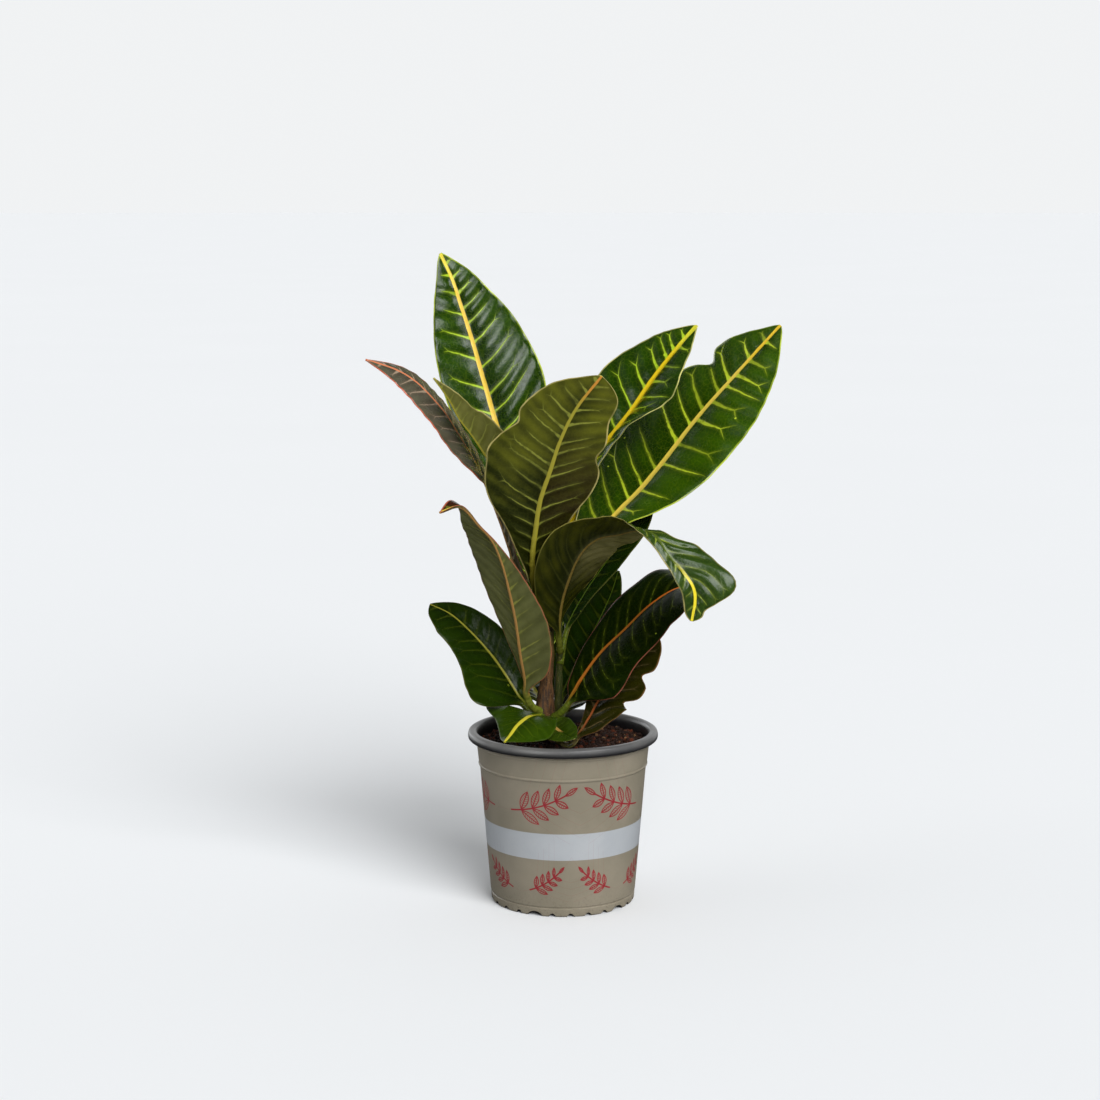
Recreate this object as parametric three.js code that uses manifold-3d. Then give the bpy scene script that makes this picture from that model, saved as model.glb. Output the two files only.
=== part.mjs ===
// A young croton in a 12 cm plastic nursery pot. Millimetres, +Z up, and the front, where the photograph was
// taken from, is -Y. Each piece is laid out round the pot's axis, with the pot's foot on Z = 0. At the end the
// whole plant is moved sideways, so that the origin is under its middle.
import * as THREE from "three";
import { mergeVertices } from "three/addons/utils/BufferGeometryUtils.js";
import Module from "manifold-3d";

const wasm = await Module();
wasm.setup();

// Driving dimensions.
const GAP = 0.3; // between pieces that rest on or in each other
const POT_HEIGHT = 109.5;
const POT_FLOOR = 4.6; // height of the floor's upper face
const POT_SIDES = 50;
const FOOT_NOTCHES = 25;
const FIRST_NOTCH = -113; // degrees from +X, the wide notch left of the front
const SOIL_LEVEL = 101;
const BLADE = 0.8; // thickness of a leaf blade
const STALK = 1.7; // radius of a leaf stalk
const RIB = 1.1; // how far the midrib stands out under the blade
const COLUMNS = 3; // strips of blade on each side of the midrib
const ROW_LENGTH = 9; // length of blade between two rows

const radians = (degrees) => (degrees * Math.PI) / 180;
const clamp01 = (x) => Math.min(1, Math.max(0, x));
const smooth = (x) => clamp01(x) ** 2 * (3 - 2 * clamp01(x));
const mix = (a, b, t) => a + (b - a) * t;
const point = ([x, y, z]) => new THREE.Vector3(x, y, z);

// Solids, and the cuts that they make in each other.

function solidOf(geometry) {
  const bare = geometry.clone();
  bare.deleteAttribute("normal");
  bare.deleteAttribute("uv");
  const merged = mergeVertices(bare, 1e-4);
  return new wasm.Manifold(
    new wasm.Mesh({
      numProp: 3,
      vertProperties: merged.attributes.position.array,
      triVerts: new Uint32Array(merged.index.array),
    }),
  );
}

// The larger piece of a solid that a cut has parted.
function largest(solid) {
  return solid.decompose().sort((a, b) => b.volume() - a.volume())[0];
}

function geometryOf(solid) {
  const mesh = solid.getMesh();
  const geometry = new THREE.BufferGeometry();
  geometry.setAttribute("position", new THREE.BufferAttribute(mesh.vertProperties, 3));
  geometry.setIndex(new THREE.BufferAttribute(mesh.triVerts, 1));
  return geometry;
}

// A closed solid through rings that all have the same even number of points. The first half of a ring runs
// along its upper face from left to right, and the second half comes back along its lower face.
function loft(rings) {
  const count = rings[0].length;
  const half = count / 2;
  const positions = rings.flat().flatMap((p) => [p.x, p.y, p.z]);
  const faces = [];
  for (let k = 0; k + 1 < rings.length; k++) {
    for (let m = 0; m < count; m++) {
      const a = k * count + m;
      const b = k * count + ((m + 1) % count);
      // Both faces of a blade are split along the same diagonal, so it stays as thick everywhere.
      if (m < half) faces.push(a, b, b + count, a, b + count, a + count);
      else faces.push(a, b, a + count, b, b + count, a + count);
    }
  }
  const last = (rings.length - 1) * count;
  for (let m = 0; m + 1 < half; m++) {
    const below = count - 1 - m;
    faces.push(m, below - 1, m + 1, m, below, below - 1);
    faces.push(last + m, last + m + 1, last + below - 1, last + m, last + below - 1, last + below);
  }
  const geometry = new THREE.BufferGeometry();
  geometry.setAttribute("position", new THREE.Float32BufferAttribute(positions, 3));
  geometry.setIndex(faces);
  return geometry;
}

// Values at even places along 0 to 1, joined smoothly.
function along(values, s) {
  if (values.length === 1) return values[0];
  const x = clamp01(s) * (values.length - 1);
  const i = Math.min(Math.floor(x), values.length - 2);
  return mix(values[i], values[i + 1], smooth(x - i));
}

// Half widths at places that crowd towards both ends of the blade, joined by a Catmull-Rom curve.
function halfWidth(values, s) {
  const n = values.length - 1;
  const x = (Math.acos(1 - 2 * clamp01(s)) / Math.PI) * n;
  const i = Math.min(Math.floor(x), n - 1);
  const f = x - i;
  const at = (k) => values[Math.min(n, Math.max(0, k))];
  const [a, b, c, d] = [at(i - 1), at(i), at(i + 1), at(i + 2)];
  return Math.max(0, b + 0.5 * f * (c - a + f * (2 * a - 5 * b + 4 * c - d + f * (3 * (b - c) + d - a))));
}

// The frame of a leaf at one place: T runs towards the tip, B to its right and N out of its upper face.
function frameAt(leaf, curve, s, place) {
  const T = curve.getTangentAt(place);
  const heading = radians(along(leaf.heading, s));
  const B = new THREE.Vector3(Math.sin(heading), -Math.cos(heading), 0);
  B.addScaledVector(T, -B.dot(T)).normalize();
  const N = B.clone().cross(T);
  const roll = radians(along(leaf.roll, s));
  const right = B.clone().multiplyScalar(Math.cos(roll)).addScaledVector(N, Math.sin(roll));
  return { at: curve.getPointAt(place), B: right, N: right.clone().cross(T) };
}

// The middle surface of a blade at s (0 at its base, 1 at its tip) and v (0 on the midrib, 1 on the margin),
// with the direction in which its upper face looks.
function bladePoint(leaf, frame, s, side, v) {
  const name = side < 0 ? "left" : "right";
  let h = halfWidth(leaf[name], s);
  for (const nick of leaf.nicks ?? []) {
    if (nick.side !== name) continue;
    const near = Math.exp(-(((s - nick.at) / nick.reach) ** 2));
    h -= nick.depth * near * Math.min(1, h / 8);
  }
  h = Math.max(h, 0.8);
  const fold = radians(along(leaf.fold[name] ?? leaf.fold, s));
  const curl = radians(leaf.curl);
  let across = 0;
  let up = 0;
  const steps = 8;
  for (let k = 0; k < steps; k++) {
    const angle = fold - (curl * v * (k + 0.5)) / steps;
    across += (Math.cos(angle) * v * h) / steps;
    up += (Math.sin(angle) * v * h) / steps;
  }
  const { size, count, phase } = leaf.wave;
  const turn = 2 * Math.PI * (count * s + phase + (side > 0 ? 0.37 : 0));
  up += size * v * v * Math.sin(turn) * smooth(s * 6) * smooth((1 - s) * 5);
  const tilt = fold - curl * v;
  const p = frame.at.clone().addScaledVector(frame.B, side * across).addScaledVector(frame.N, up);
  const n = frame.N.clone().multiplyScalar(Math.cos(tilt)).addScaledVector(frame.B, -side * Math.sin(tilt));
  return { p, n };
}

// One ring around a leaf: a round stalk that flattens into the blade over the blade's first tenth.
function leafRing(leaf, frame, s) {
  const columns = 2 * COLUMNS + 1;
  const flat = s === null ? 0 : smooth(s / 0.1);
  const top = [];
  const bottom = [];
  for (let j = -COLUMNS; j <= COLUMNS; j++) {
    const { p, n } = bladePoint(leaf, frame, s ?? 0, j < 0 ? -1 : 1, Math.abs(j) / COLUMNS);
    const rib = j === 0 ? RIB * (1 - 0.7 * (s ?? 0)) : 0;
    top.push(p.clone().addScaledVector(n, BLADE / 2));
    bottom.unshift(p.clone().addScaledVector(n, -BLADE / 2 - rib));
  }
  return [...top, ...bottom].map((p, m) => {
    const angle = Math.PI - ((m + 0.5) * Math.PI) / columns;
    const round = frame.at
      .clone()
      .addScaledVector(frame.B, STALK * Math.cos(angle))
      .addScaledVector(frame.N, STALK * Math.sin(angle));
    return round.lerp(p, flat);
  });
}

function leafGeometry(leaf) {
  const curve = new THREE.CatmullRomCurve3(leaf.path.map(point), false, "centripetal");
  const length = curve.getLength();
  const start = leaf.stalk / length;
  const stalkRows = Math.max(2, Math.round(leaf.stalk / 8));
  const bladeRows = Math.round((length - leaf.stalk) / ROW_LENGTH) + 4;
  const rings = [];
  for (let k = 0; k < stalkRows; k++) {
    rings.push(leafRing(leaf, frameAt(leaf, curve, 0, (start * k) / stalkRows), null));
  }
  for (let k = 0; k <= bladeRows; k++) {
    const even = k / bladeRows;
    const s = mix(even, (1 - Math.cos(Math.PI * even)) / 2, 0.5);
    rings.push(leafRing(leaf, frameAt(leaf, curve, s, mix(start, 1, s)), s));
  }
  return loft(rings);
}

// A round stem through points, each with its own radius.
function stemGeometry(path, radii, extra = 0) {
  const curve = new THREE.CatmullRomCurve3(path.map(point), false, "centripetal");
  const rows = 12;
  const sides = 14;
  const rings = [];
  for (let k = 0; k <= rows; k++) {
    const T = curve.getTangentAt(k / rows);
    const B = new THREE.Vector3(0, 1, 0).cross(T).normalize();
    const N = B.clone().cross(T);
    const knuckle = 1 + 0.06 * Math.cos(k * 2.6);
    const r = along(radii, k / rows) * knuckle + extra;
    const ring = [];
    for (let m = 0; m < sides; m++) {
      const angle = Math.PI - ((m + 0.5) * 2 * Math.PI) / sides;
      const p = curve.getPointAt(k / rows);
      ring.push(p.addScaledVector(B, r * Math.cos(angle)).addScaledVector(N, r * Math.sin(angle)));
    }
    rings.push(ring);
  }
  return loft(rings);
}

// The pot.

// Outline of the pot's wall from the middle of its raised floor around the foot, up the outside, over the
// rolled rim and down the inside: radius and height.
const POT_OUTLINE = [
  [0, 3.2],
  [39.4, 3.2],
  [40.6, 0],
  [44.8, 0],
  [45.3, 0.8],
  [45.7, 5.1],
  [45.1, 5.7],
  [45.9, 6.4],
  [52.6, 87.5],
  [53.9, 90.6],
  [54.9, 102.4],
  [55.4, 103.3],
  [58.8, 103.6],
  [59.8, 104.6],
  [60, 106.6],
  [59.5, 108.6],
  [58, POT_HEIGHT],
  [56, POT_HEIGHT],
  [54.8, 108.8],
  [54.1, 107],
  [53.7, 102.2],
  [52.7, 91.2],
  [51.4, 87.9],
  [44.6, 6.2],
  [43.4, POT_FLOOR],
  [0, POT_FLOOR],
];

function upright(radius, height, sides) {
  return new THREE.CylinderGeometry(radius, radius, height, sides).rotateX(Math.PI / 2);
}

function potSolid() {
  const outline = POT_OUTLINE.map(([r, z]) => new THREE.Vector2(r, z));
  let pot = solidOf(new THREE.LatheGeometry(outline, POT_SIDES).rotateX(Math.PI / 2));
  // Scallops under the foot, every fifth one wide and tall.
  for (let k = 0; k < FOOT_NOTCHES; k++) {
    const wide = k % 5 === 0;
    const notch = new THREE.CapsuleGeometry(wide ? 2.6 : 1.7, 12, 2, 10)
      .rotateZ(Math.PI / 2)
      .scale(1, wide ? 1.7 : 1.1, 1)
      .translate(43, 0, 0)
      .rotateZ(radians(FIRST_NOTCH + (k * 360) / FOOT_NOTCHES));
    pot = pot.subtract(solidOf(notch));
  }
  // Drain holes in the floor.
  for (let k = 0; k < 6; k++) {
    const hole = upright(4, 8, 12).translate(29, 0, 4).rotateZ(radians(30 + 60 * k));
    pot = pot.subtract(solidOf(hole));
  }
  pot = pot.subtract(solidOf(upright(4.5, 8, 12).translate(0, 0, 4)));
  return pot;
}

// The soil fills the pot's inside with a lumpy top.

function soilGeometry() {
  const sides = 30;
  const wall = [
    [42.6, POT_FLOOR + GAP],
    [44, 6.4],
    [50.9, 88.1],
    [52.3, 91.4],
  ];
  const outline = [[0, POT_FLOOR + GAP], ...wall, [53.1, SOIL_LEVEL - 0.6]];
  for (let r = 48; r > 2; r -= 6.5) outline.push([r, SOIL_LEVEL]);
  outline.push([0, SOIL_LEVEL]);
  const lathe = new THREE.LatheGeometry(
    outline.map(([r, z]) => new THREE.Vector2(r, z)),
    sides,
  ).rotateX(Math.PI / 2);
  const at = lathe.attributes.position;
  for (let i = 0; i < at.count; i++) {
    const [x, y, z] = [at.getX(i), at.getY(i), at.getZ(i)];
    if (z < SOIL_LEVEL - 0.1) continue;
    at.setZ(i, z + 0.7 * Math.sin(x * 0.31 + 1.1) * Math.cos(y * 0.27) + 0.5 * Math.sin(y * 0.53 - x * 0.4));
  }
  return lathe;
}

// Stems.

const STEM = {
  path: [[-11, 0, 58], [-11, -1, 100], [-10, 0, 130], [-9, 1, 165], [-7, 1, 196], [-6, 1, 216]],
  radii: [5.2, 4.6, 4, 3.4, 2.6, 0.9],
};
const SIDE_STEM = {
  path: [[-5, 6, 76], [-4, 6, 104], [-3, 6, 132], [-2, 4, 160], [-1, 3, 178]],
  radii: [3, 2.8, 2.6, 2.2, 0.9],
};

// Leaves. The path follows the midrib from inside the stem to the tip, heading is the compass direction in
// which the leaf points (degrees from +X), roll turns the blade about its midrib, fold lifts each half
// towards its margin and curl turns the margins down again. left and right are half widths.

const GREEN = { color: 0x2f5a1c, roughness: 0.32, metalness: 0 };
const DARK = { color: 0x22381a, roughness: 0.28, metalness: 0 };
const BRONZE = { color: 0x4a4630, roughness: 0.35, metalness: 0 };
const OLIVE = { color: 0x6a6a34, roughness: 0.42, metalness: 0 };

const LEAVES = {
  leaf_crown: {
    finish: GREEN,
    path: [[-7, 1, 199], [-13, 10, 211], [-26, 22, 243], [-41, 34, 295], [-49, 40, 322], [-58, 46, 353],
      [-65, 50, 374], [-70, 53, 389], [-78, 56, 406]],
    stalk: 30,
    heading: [105],
    roll: [15, 20, 20],
    fold: [25, 16, 10],
    curl: 20,
    left: [0, 3, 8, 16, 26, 25, 16, 6, 0],
    right: [0, 3, 12, 24, 38, 32, 18, 6, 0],
    wave: { size: 1.2, count: 3, phase: 0.1 },
  },
  leaf_far_left: {
    finish: BRONZE,
    path: [[-9, 0, 170], [-19, 0, 193], [-30, -4, 216], [-39, -8, 243], [-49, -12, 269], [-59, -15, 288],
      [-66, -17, 300], [-72, -18, 310], [-81, -20, 321], [-90, -21, 330], [-99, -22, 336], [-108, -24, 340],
      [-120, -26, 344]],
    stalk: 25,
    heading: [200],
    roll: [0, 5, 35, 38],
    fold: [20, 10, -8, -8],
    curl: 5,
    left: [0, 5, 11, 14, 19, 19, 13, 4, 0],
    right: [0, 5, 12, 20, 22, 17, 9, 3, 0],
    wave: { size: 0.5, count: 3, phase: 0.3 },
  },
  leaf_folded: {
    finish: OLIVE,
    path: [[-9, 0, 182], [-20, -13, 209], [-33, -24, 246], [-45, -32, 282], [-51, -33, 292], [-57, -35, 301],
      [-63, -36, 309], [-68, -38, 319], [-73, -40, 327], [-78, -42, 334]],
    stalk: 45,
    heading: [215],
    roll: [0],
    fold: { left: [35, 30, 25], right: [50, 45, 40] },
    curl: 8,
    left: [0, 4, 10, 15, 21, 20, 11, 3, 0],
    right: [0, 4, 10, 15, 21, 20, 11, 3, 0],
    wave: { size: 0.5, count: 3, phase: 0.3 },
  },
  leaf_front_tall: {
    finish: OLIVE,
    path: [[-8, 0, 176], [-17, -14, 197], [-19, -27, 221], [-17, -38, 241], [-14, -48, 261], [-8, -57, 280],
      [-2, -65, 299], [7, -72, 318], [22, -78, 338]],
    stalk: 26,
    heading: [270],
    roll: [0],
    fold: [25, 12, 8],
    curl: 20,
    left: [0, 3, 9, 17, 29, 25, 22, 14, 0],
    right: [0, 2, 6, 19, 37, 34, 24, 8, 0],
    wave: { size: 1.2, count: 2.5, phase: 0.1 },
    nicks: [
      { side: "left", at: 0.6, depth: 3, reach: 0.05 },
      { side: "right", at: 0.61, depth: -3, reach: 0.05 },
      { side: "right", at: 0.72, depth: 5, reach: 0.035 },
    ],
  },
  leaf_upper_right: {
    finish: GREEN,
    path: [[-8, 1, 186], [-2, 7, 205], [7, 14, 240], [19, 21, 274], [30, 25, 290], [44, 29, 308],
      [57, 33, 327], [72, 37, 346], [85, 40, 361]],
    stalk: 36,
    heading: [60],
    roll: [0],
    fold: { left: [25, 18, 12], right: [58, 58, 54, 32, 20] },
    curl: 15,
    left: [0, 3, 8, 18, 31, 33, 22, 8, 0],
    right: [0, 3, 9, 20, 30, 32, 18, 5, 0],
    wave: { size: 0.8, count: 3, phase: 0.3 },
  },
  leaf_broad_right: {
    finish: GREEN,
    path: [[-8, 3, 183], [11, 12, 212], [31, 24, 239], [49, 30, 257], [65, 34, 276], [87, 38, 304],
      [112, 41, 332], [138, 42, 361]],
    stalk: 30,
    heading: [50],
    roll: [0],
    fold: [22, 14, 10],
    curl: 20,
    left: [0, 10, 29, 43, 45, 37, 27, 9, 0],
    right: [0, 4, 10, 29, 43, 42, 29, 10, 0],
    wave: { size: 0.8, count: 3, phase: 0.3 },
    nicks: [{ side: "left", at: 0.775, depth: 10, reach: 0.03 }],
  },
  leaf_arching: {
    finish: OLIVE,
    path: [[-2, 3, 158], [-3, -8, 176], [-1, -14, 194], [3, -19, 208], [8, -24, 221], [14, -28, 230],
      [22, -32, 236], [34, -37, 239], [45, -42, 242], [55, -48, 239], [64, -53, 227], [72, -56, 218],
      [78, -58, 209], [79, -59, 201], [77, -60, 189]],
    stalk: 14,
    heading: [-35, -35, -45, -75, -80],
    roll: [0, 12, 18, 0, -10],
    fold: { left: [25, 0, 5, 10], right: [30, 20, 15, 10] },
    curl: 15,
    left: [0, 6, 17, 23, 18, 7, 20, 9, 0],
    right: [0, 7, 17, 25, 20, 5, 8, 6, 0],
    wave: { size: 0.5, count: 3, phase: 0.3 },
    nicks: [
      { side: "right", at: 0.45, depth: 4, reach: 0.05 },
      { side: "left", at: 0.77, depth: -4, reach: 0.05 },
      { side: "left", at: 0.915, depth: -7, reach: 0.03 },
    ],
  },
  leaf_behind_arch: {
    finish: DARK,
    path: [[-2, 4, 150], [3, 12, 172], [14, 20, 192], [33, 28, 219], [49, 34, 247], [59, 37, 269]],
    stalk: 20,
    heading: [50],
    roll: [0],
    fold: [20, 14, 10],
    curl: 15,
    left: [0, 5, 11, 16, 18, 16, 10, 4, 0],
    right: [0, 3, 7, 10, 14, 16, 11, 5, 0],
    wave: { size: 0.5, count: 3, phase: 0.3 },
  },
  leaf_curled: {
    finish: OLIVE,
    path: [[-11, -1, 120], [-19, -9, 125], [-23, -12, 134], [-23, -15, 142], [-26, -21, 161], [-29, -28, 184],
      [-33, -34, 204], [-37, -38, 220], [-43, -42, 235], [-51, -46, 245], [-62, -52, 257], [-74, -61, 255]],
    stalk: 22,
    heading: [225],
    roll: [0, 0, 0, 0, 35],
    fold: { left: [20, 35, 70], right: [20, 15, 5] },
    curl: 15,
    left: [0, 5, 19, 21, 12, 2, 1, 3, 0],
    right: [0, 2, 8, 21, 28, 27, 14, 4, 0],
    wave: { size: 0.3, count: 2, phase: 0.3 },
  },
  leaf_low_left: {
    finish: DARK,
    path: [[-11, 1, 117], [-21, 5, 120], [-27, 9, 126], [-37, 15, 141], [-46, 19, 153], [-59, 23, 167],
      [-72, 26, 178], [-85, 28, 184]],
    stalk: 18,
    heading: [150],
    roll: [10, 25, 25],
    fold: [20, 14, 10],
    curl: 15,
    left: [0, 14, 33, 32, 26, 20, 18, 10, 0],
    right: [0, 4, 9, 14, 19, 16, 10, 4, 0],
    wave: { size: 0.5, count: 2, phase: 0.3 },
  },
  leaf_over_rim: {
    finish: GREEN,
    path: [[-11, -1, 117], [-16, -12, 120], [-21, -19, 121], [-28, -29, 118], [-33, -37, 113],
      [-36, -44, 111]],
    stalk: 8,
    heading: [235],
    roll: [0],
    fold: [10, 0, -10],
    curl: 10,
    left: [0, 8, 15, 18, 22, 23, 12, 3, 0],
    right: [0, 20, 42, 34, 20, 12, 6, 2, 0],
    wave: { size: 0.3, count: 2, phase: 0.3 },
  },
  leaf_small_front: {
    finish: GREEN,
    path: [[-10, -1, 114], [-9, -9, 115], [-5, -16, 113], [-1, -23, 112], [4, -29, 111], [8, -33, 111]],
    stalk: 8,
    heading: [-50],
    roll: [0],
    fold: { left: [50, 52, 50], right: [10, 0, -10] },
    curl: 10,
    left: [0, 3, 7, 10, 10, 9, 7, 3, 0],
    right: [0, 3, 6, 8, 10, 10, 8, 4, 0],
    wave: { size: 0.2, count: 2, phase: 0.3 },
  },
  leaf_dark_right: {
    finish: DARK,
    path: [[-10, -1, 116], [-4, -5, 119], [2, -7, 125], [11, -3, 140], [23, 3, 156], [39, 8, 171],
      [55, 12, 186], [71, 14, 196], [82, 15, 198], [91, 16, 196]],
    stalk: 18,
    heading: [45],
    roll: [0],
    fold: [20, 14, 10],
    curl: 15,
    left: [0, 4, 9, 15, 22, 25, 28, 18, 0],
    right: [0, 14, 34, 36, 34, 32, 30, 12, 0],
    wave: { size: 0.5, count: 2, phase: 0.3 },
  },
  leaf_narrow_right: {
    finish: DARK,
    path: [[-4, 5, 116], [-3, 9, 121], [1, 15, 131], [8, 25, 145], [23, 37, 171], [32, 43, 190],
      [36, 46, 203]],
    stalk: 12,
    heading: [65],
    roll: [0],
    fold: [20, 14, 10],
    curl: 15,
    left: [0, 9, 20, 23, 22, 17, 10, 4, 0],
    right: [0, 5, 12, 16, 16, 13, 7, 3, 0],
    wave: { size: 0.5, count: 3, phase: 0.3 },
  },
  leaf_wavy: {
    finish: BRONZE,
    path: [[-10, -1, 109], [-5, -12, 106.5], [-1, -21, 104.6], [5, -25, 104.6], [9, -24, 109.5],
      [13, -21, 114.5], [18, -16, 122], [23, -11, 130], [36, -3, 141], [48, 5, 156], [58, 10, 169]],
    stalk: 34,
    heading: [40],
    roll: [0, -10, -15],
    fold: [15, 10, 5],
    curl: 15,
    left: [0, 3, 5, 8, 14, 14, 9, 4, 0],
    right: [0, 8, 19, 25, 25, 19, 15, 8, 0],
    wave: { size: 0.5, count: 3, phase: 0.3 },
    nicks: [
      { side: "right", at: 0.42, depth: 8, reach: 0.05 },
      { side: "right", at: 0.66, depth: 8, reach: 0.05 },
    ],
  },
  leaf_back_high: {
    finish: GREEN,
    path: [[-9, 2, 160], [-12, 26, 180], [-15, 50, 213], [-16, 66, 244], [-15, 76, 270]],
    stalk: 22,
    heading: [92],
    roll: [0],
    fold: [20, 14, 10],
    curl: 20,
    left: [0, 4, 11, 17, 20, 19, 13, 5, 0],
    right: [0, 4, 11, 17, 20, 19, 13, 5, 0],
    wave: { size: 1.5, count: 3, phase: 0.2 },
  },
  leaf_back_left: {
    finish: DARK,
    path: [[-11, 1, 122], [-16, 22, 128], [-22, 40, 135], [-28, 54, 141]],
    stalk: 14,
    heading: [118],
    roll: [0],
    fold: [20, 14, 10],
    curl: 20,
    left: [0, 4, 10, 14, 16, 15, 10, 4, 0],
    right: [0, 4, 10, 14, 16, 15, 10, 4, 0],
    wave: { size: 1, count: 2, phase: 0.2 },
  },
  leaf_back_right: {
    finish: DARK,
    path: [[-4, 6, 112], [6, 28, 119], [20, 44, 130], [32, 54, 139]],
    stalk: 16,
    heading: [52],
    roll: [0],
    fold: [20, 14, 10],
    curl: 20,
    left: [0, 3, 8, 12, 13, 12, 8, 3, 0],
    right: [0, 3, 8, 12, 13, 12, 8, 3, 0],
    wave: { size: 1, count: 2, phase: 0.6 },
  },
  leaf_back_rising: {
    finish: GREEN,
    path: [[-10, 2, 146], [-10, 28, 160], [-9, 56, 186], [-7, 80, 214]],
    stalk: 20,
    heading: [88],
    roll: [0],
    fold: [20, 14, 10],
    curl: 20,
    left: [0, 3, 7, 10, 12, 11, 8, 3, 0],
    right: [0, 3, 7, 11, 14, 13, 9, 3, 0],
    wave: { size: 1.5, count: 2.5, phase: 0.4 },
  },
};

// The assembly. What passes through or meets another piece is cut back by GAP.

const croton = new THREE.Group();

function add(name, geometry, finish) {
  const mesh = new THREE.Mesh(geometry, new THREE.MeshStandardMaterial(finish));
  mesh.name = name;
  croton.add(mesh);
}

const stem = solidOf(stemGeometry(STEM.path, STEM.radii));
const stemRoom = solidOf(stemGeometry(STEM.path, STEM.radii, GAP));
const sideStemRoom = solidOf(stemGeometry(SIDE_STEM.path, SIDE_STEM.radii, GAP));
const stemsRoom = stemRoom.add(sideStemRoom);

add("pot", geometryOf(potSolid()), { color: 0x96907f, roughness: 0.45, metalness: 0 });
add("soil", geometryOf(solidOf(soilGeometry()).subtract(stemsRoom)), {
  color: 0x3a251d,
  roughness: 0.95,
  metalness: 0,
});
add("stem", geometryOf(stem), { color: 0x6f5a3a, roughness: 0.7, metalness: 0 });
add("side_stem", geometryOf(solidOf(stemGeometry(SIDE_STEM.path, SIDE_STEM.radii)).subtract(stemRoom)), {
  color: 0x7d7a3e,
  roughness: 0.6,
  metalness: 0,
});
for (const [name, leaf] of Object.entries(LEAVES)) {
  add(name, geometryOf(largest(solidOf(leafGeometry(leaf)).subtract(stemsRoom))), leaf.finish);
}

// The origin comes under the middle of the whole plant, on the surface that the pot stands on.
const middle = new THREE.Box3().setFromObject(croton).getCenter(new THREE.Vector3());
croton.position.set(-middle.x, -middle.y, 0);

export default croton;
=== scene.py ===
# %% [markdown]
# # A potted croton
# A young croton stands in a 12 cm nursery pot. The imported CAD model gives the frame: where the pot, the soil,
# the stems and every leaf are. Here each of them gets its fine form and its finish. Everything is in metres,
# but the sizes of the plant are written in millimetres, because a gardener would measure it so.

# %% Load the frame
import math

import bpy
import numpy as np
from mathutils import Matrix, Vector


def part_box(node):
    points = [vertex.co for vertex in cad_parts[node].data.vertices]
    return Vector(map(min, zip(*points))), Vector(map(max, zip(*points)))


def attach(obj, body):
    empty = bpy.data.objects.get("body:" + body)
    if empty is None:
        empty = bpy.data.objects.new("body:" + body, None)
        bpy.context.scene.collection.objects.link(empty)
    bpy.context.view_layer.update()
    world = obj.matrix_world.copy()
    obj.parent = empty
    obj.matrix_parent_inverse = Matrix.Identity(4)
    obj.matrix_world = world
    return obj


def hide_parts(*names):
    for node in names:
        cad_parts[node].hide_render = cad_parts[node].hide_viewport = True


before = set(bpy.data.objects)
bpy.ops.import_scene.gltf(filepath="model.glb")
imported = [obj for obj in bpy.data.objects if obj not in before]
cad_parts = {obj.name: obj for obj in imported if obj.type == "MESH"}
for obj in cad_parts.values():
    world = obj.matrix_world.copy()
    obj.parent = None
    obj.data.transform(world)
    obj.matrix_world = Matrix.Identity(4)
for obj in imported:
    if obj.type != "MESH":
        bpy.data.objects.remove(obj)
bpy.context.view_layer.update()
MM = 0.001
pot_low, pot_high = (np.array(corner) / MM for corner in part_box("pot"))
POT_AXIS = np.array([(pot_low[0] + pot_high[0]) / 2, (pot_low[1] + pot_high[1]) / 2, 0])
print("nodes:", len(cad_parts), "pot axis at", POT_AXIS.round(2), "mm")

# %% [markdown]
# ## Helpers
# A few helpers keep the steps short. Some make objects and meshes from arrays. A mesh can get UV maps, which
# here carry measurements such as the distance from the midrib, so that a material can draw along the leaf.
# The others build node trees: each call makes one node, sets its values and links its inputs. What a node
# gives can be added, multiplied and compared like a number, and that adds the math nodes.

# %% Mesh helpers
def placed(name, data):
    """A new object in the scene."""
    made = bpy.data.objects.new(name, data)
    bpy.context.collection.objects.link(made)
    return made


def mesh_piece(name, points, faces=(), links=(), uv_maps=None):
    """An object from points in millimetres, with faces of three or four corners or links between points."""
    mesh = bpy.data.meshes.new(name)
    mesh.from_pydata((np.asarray(points, float) * MM).tolist(), list(links), [list(face) for face in faces])
    for map_name, corners in (uv_maps or {}).items():
        layer = mesh.uv_layers.new(name=map_name)
        layer.data.foreach_set("uv", np.asarray(corners, np.float32).ravel())
    mesh.validate()
    mesh.shade_smooth()
    return placed(name, mesh)


def chain(points):
    """Links that join each point to the next."""
    return [(k, k + 1) for k in range(len(points) - 1)]


def disc(radii, sides):
    """Points and faces of a flat disc: a fan in the middle, and then a ring of faces up to each radius."""
    points = [(0, 0, 0)]
    points += [(r * math.cos(2 * math.pi * k / sides), r * math.sin(2 * math.pi * k / sides), 0)
               for r in radii for k in range(sides)]
    faces = [(0, 1 + k, 1 + (k + 1) % sides) for k in range(sides)]
    for ring in range(len(radii) - 1):
        inner, outer = 1 + ring * sides, 1 + (ring + 1) * sides
        for k in range(sides):
            after = (k + 1) % sides
            faces.append((inner + k, outer + k, outer + after, inner + after))
    return points, faces


def triangles(mesh):
    return sum(len(face.vertices) - 2 for face in mesh.polygons)


# %% Node helpers
def sum_node(operation, turned=False):
    """A method that gives a value's sum with another, as a math node."""
    def method(self, *other):
        values = (*other, self) if turned else (self, *other)
        return self.nodes.math(operation, *values)
    return method


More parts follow.
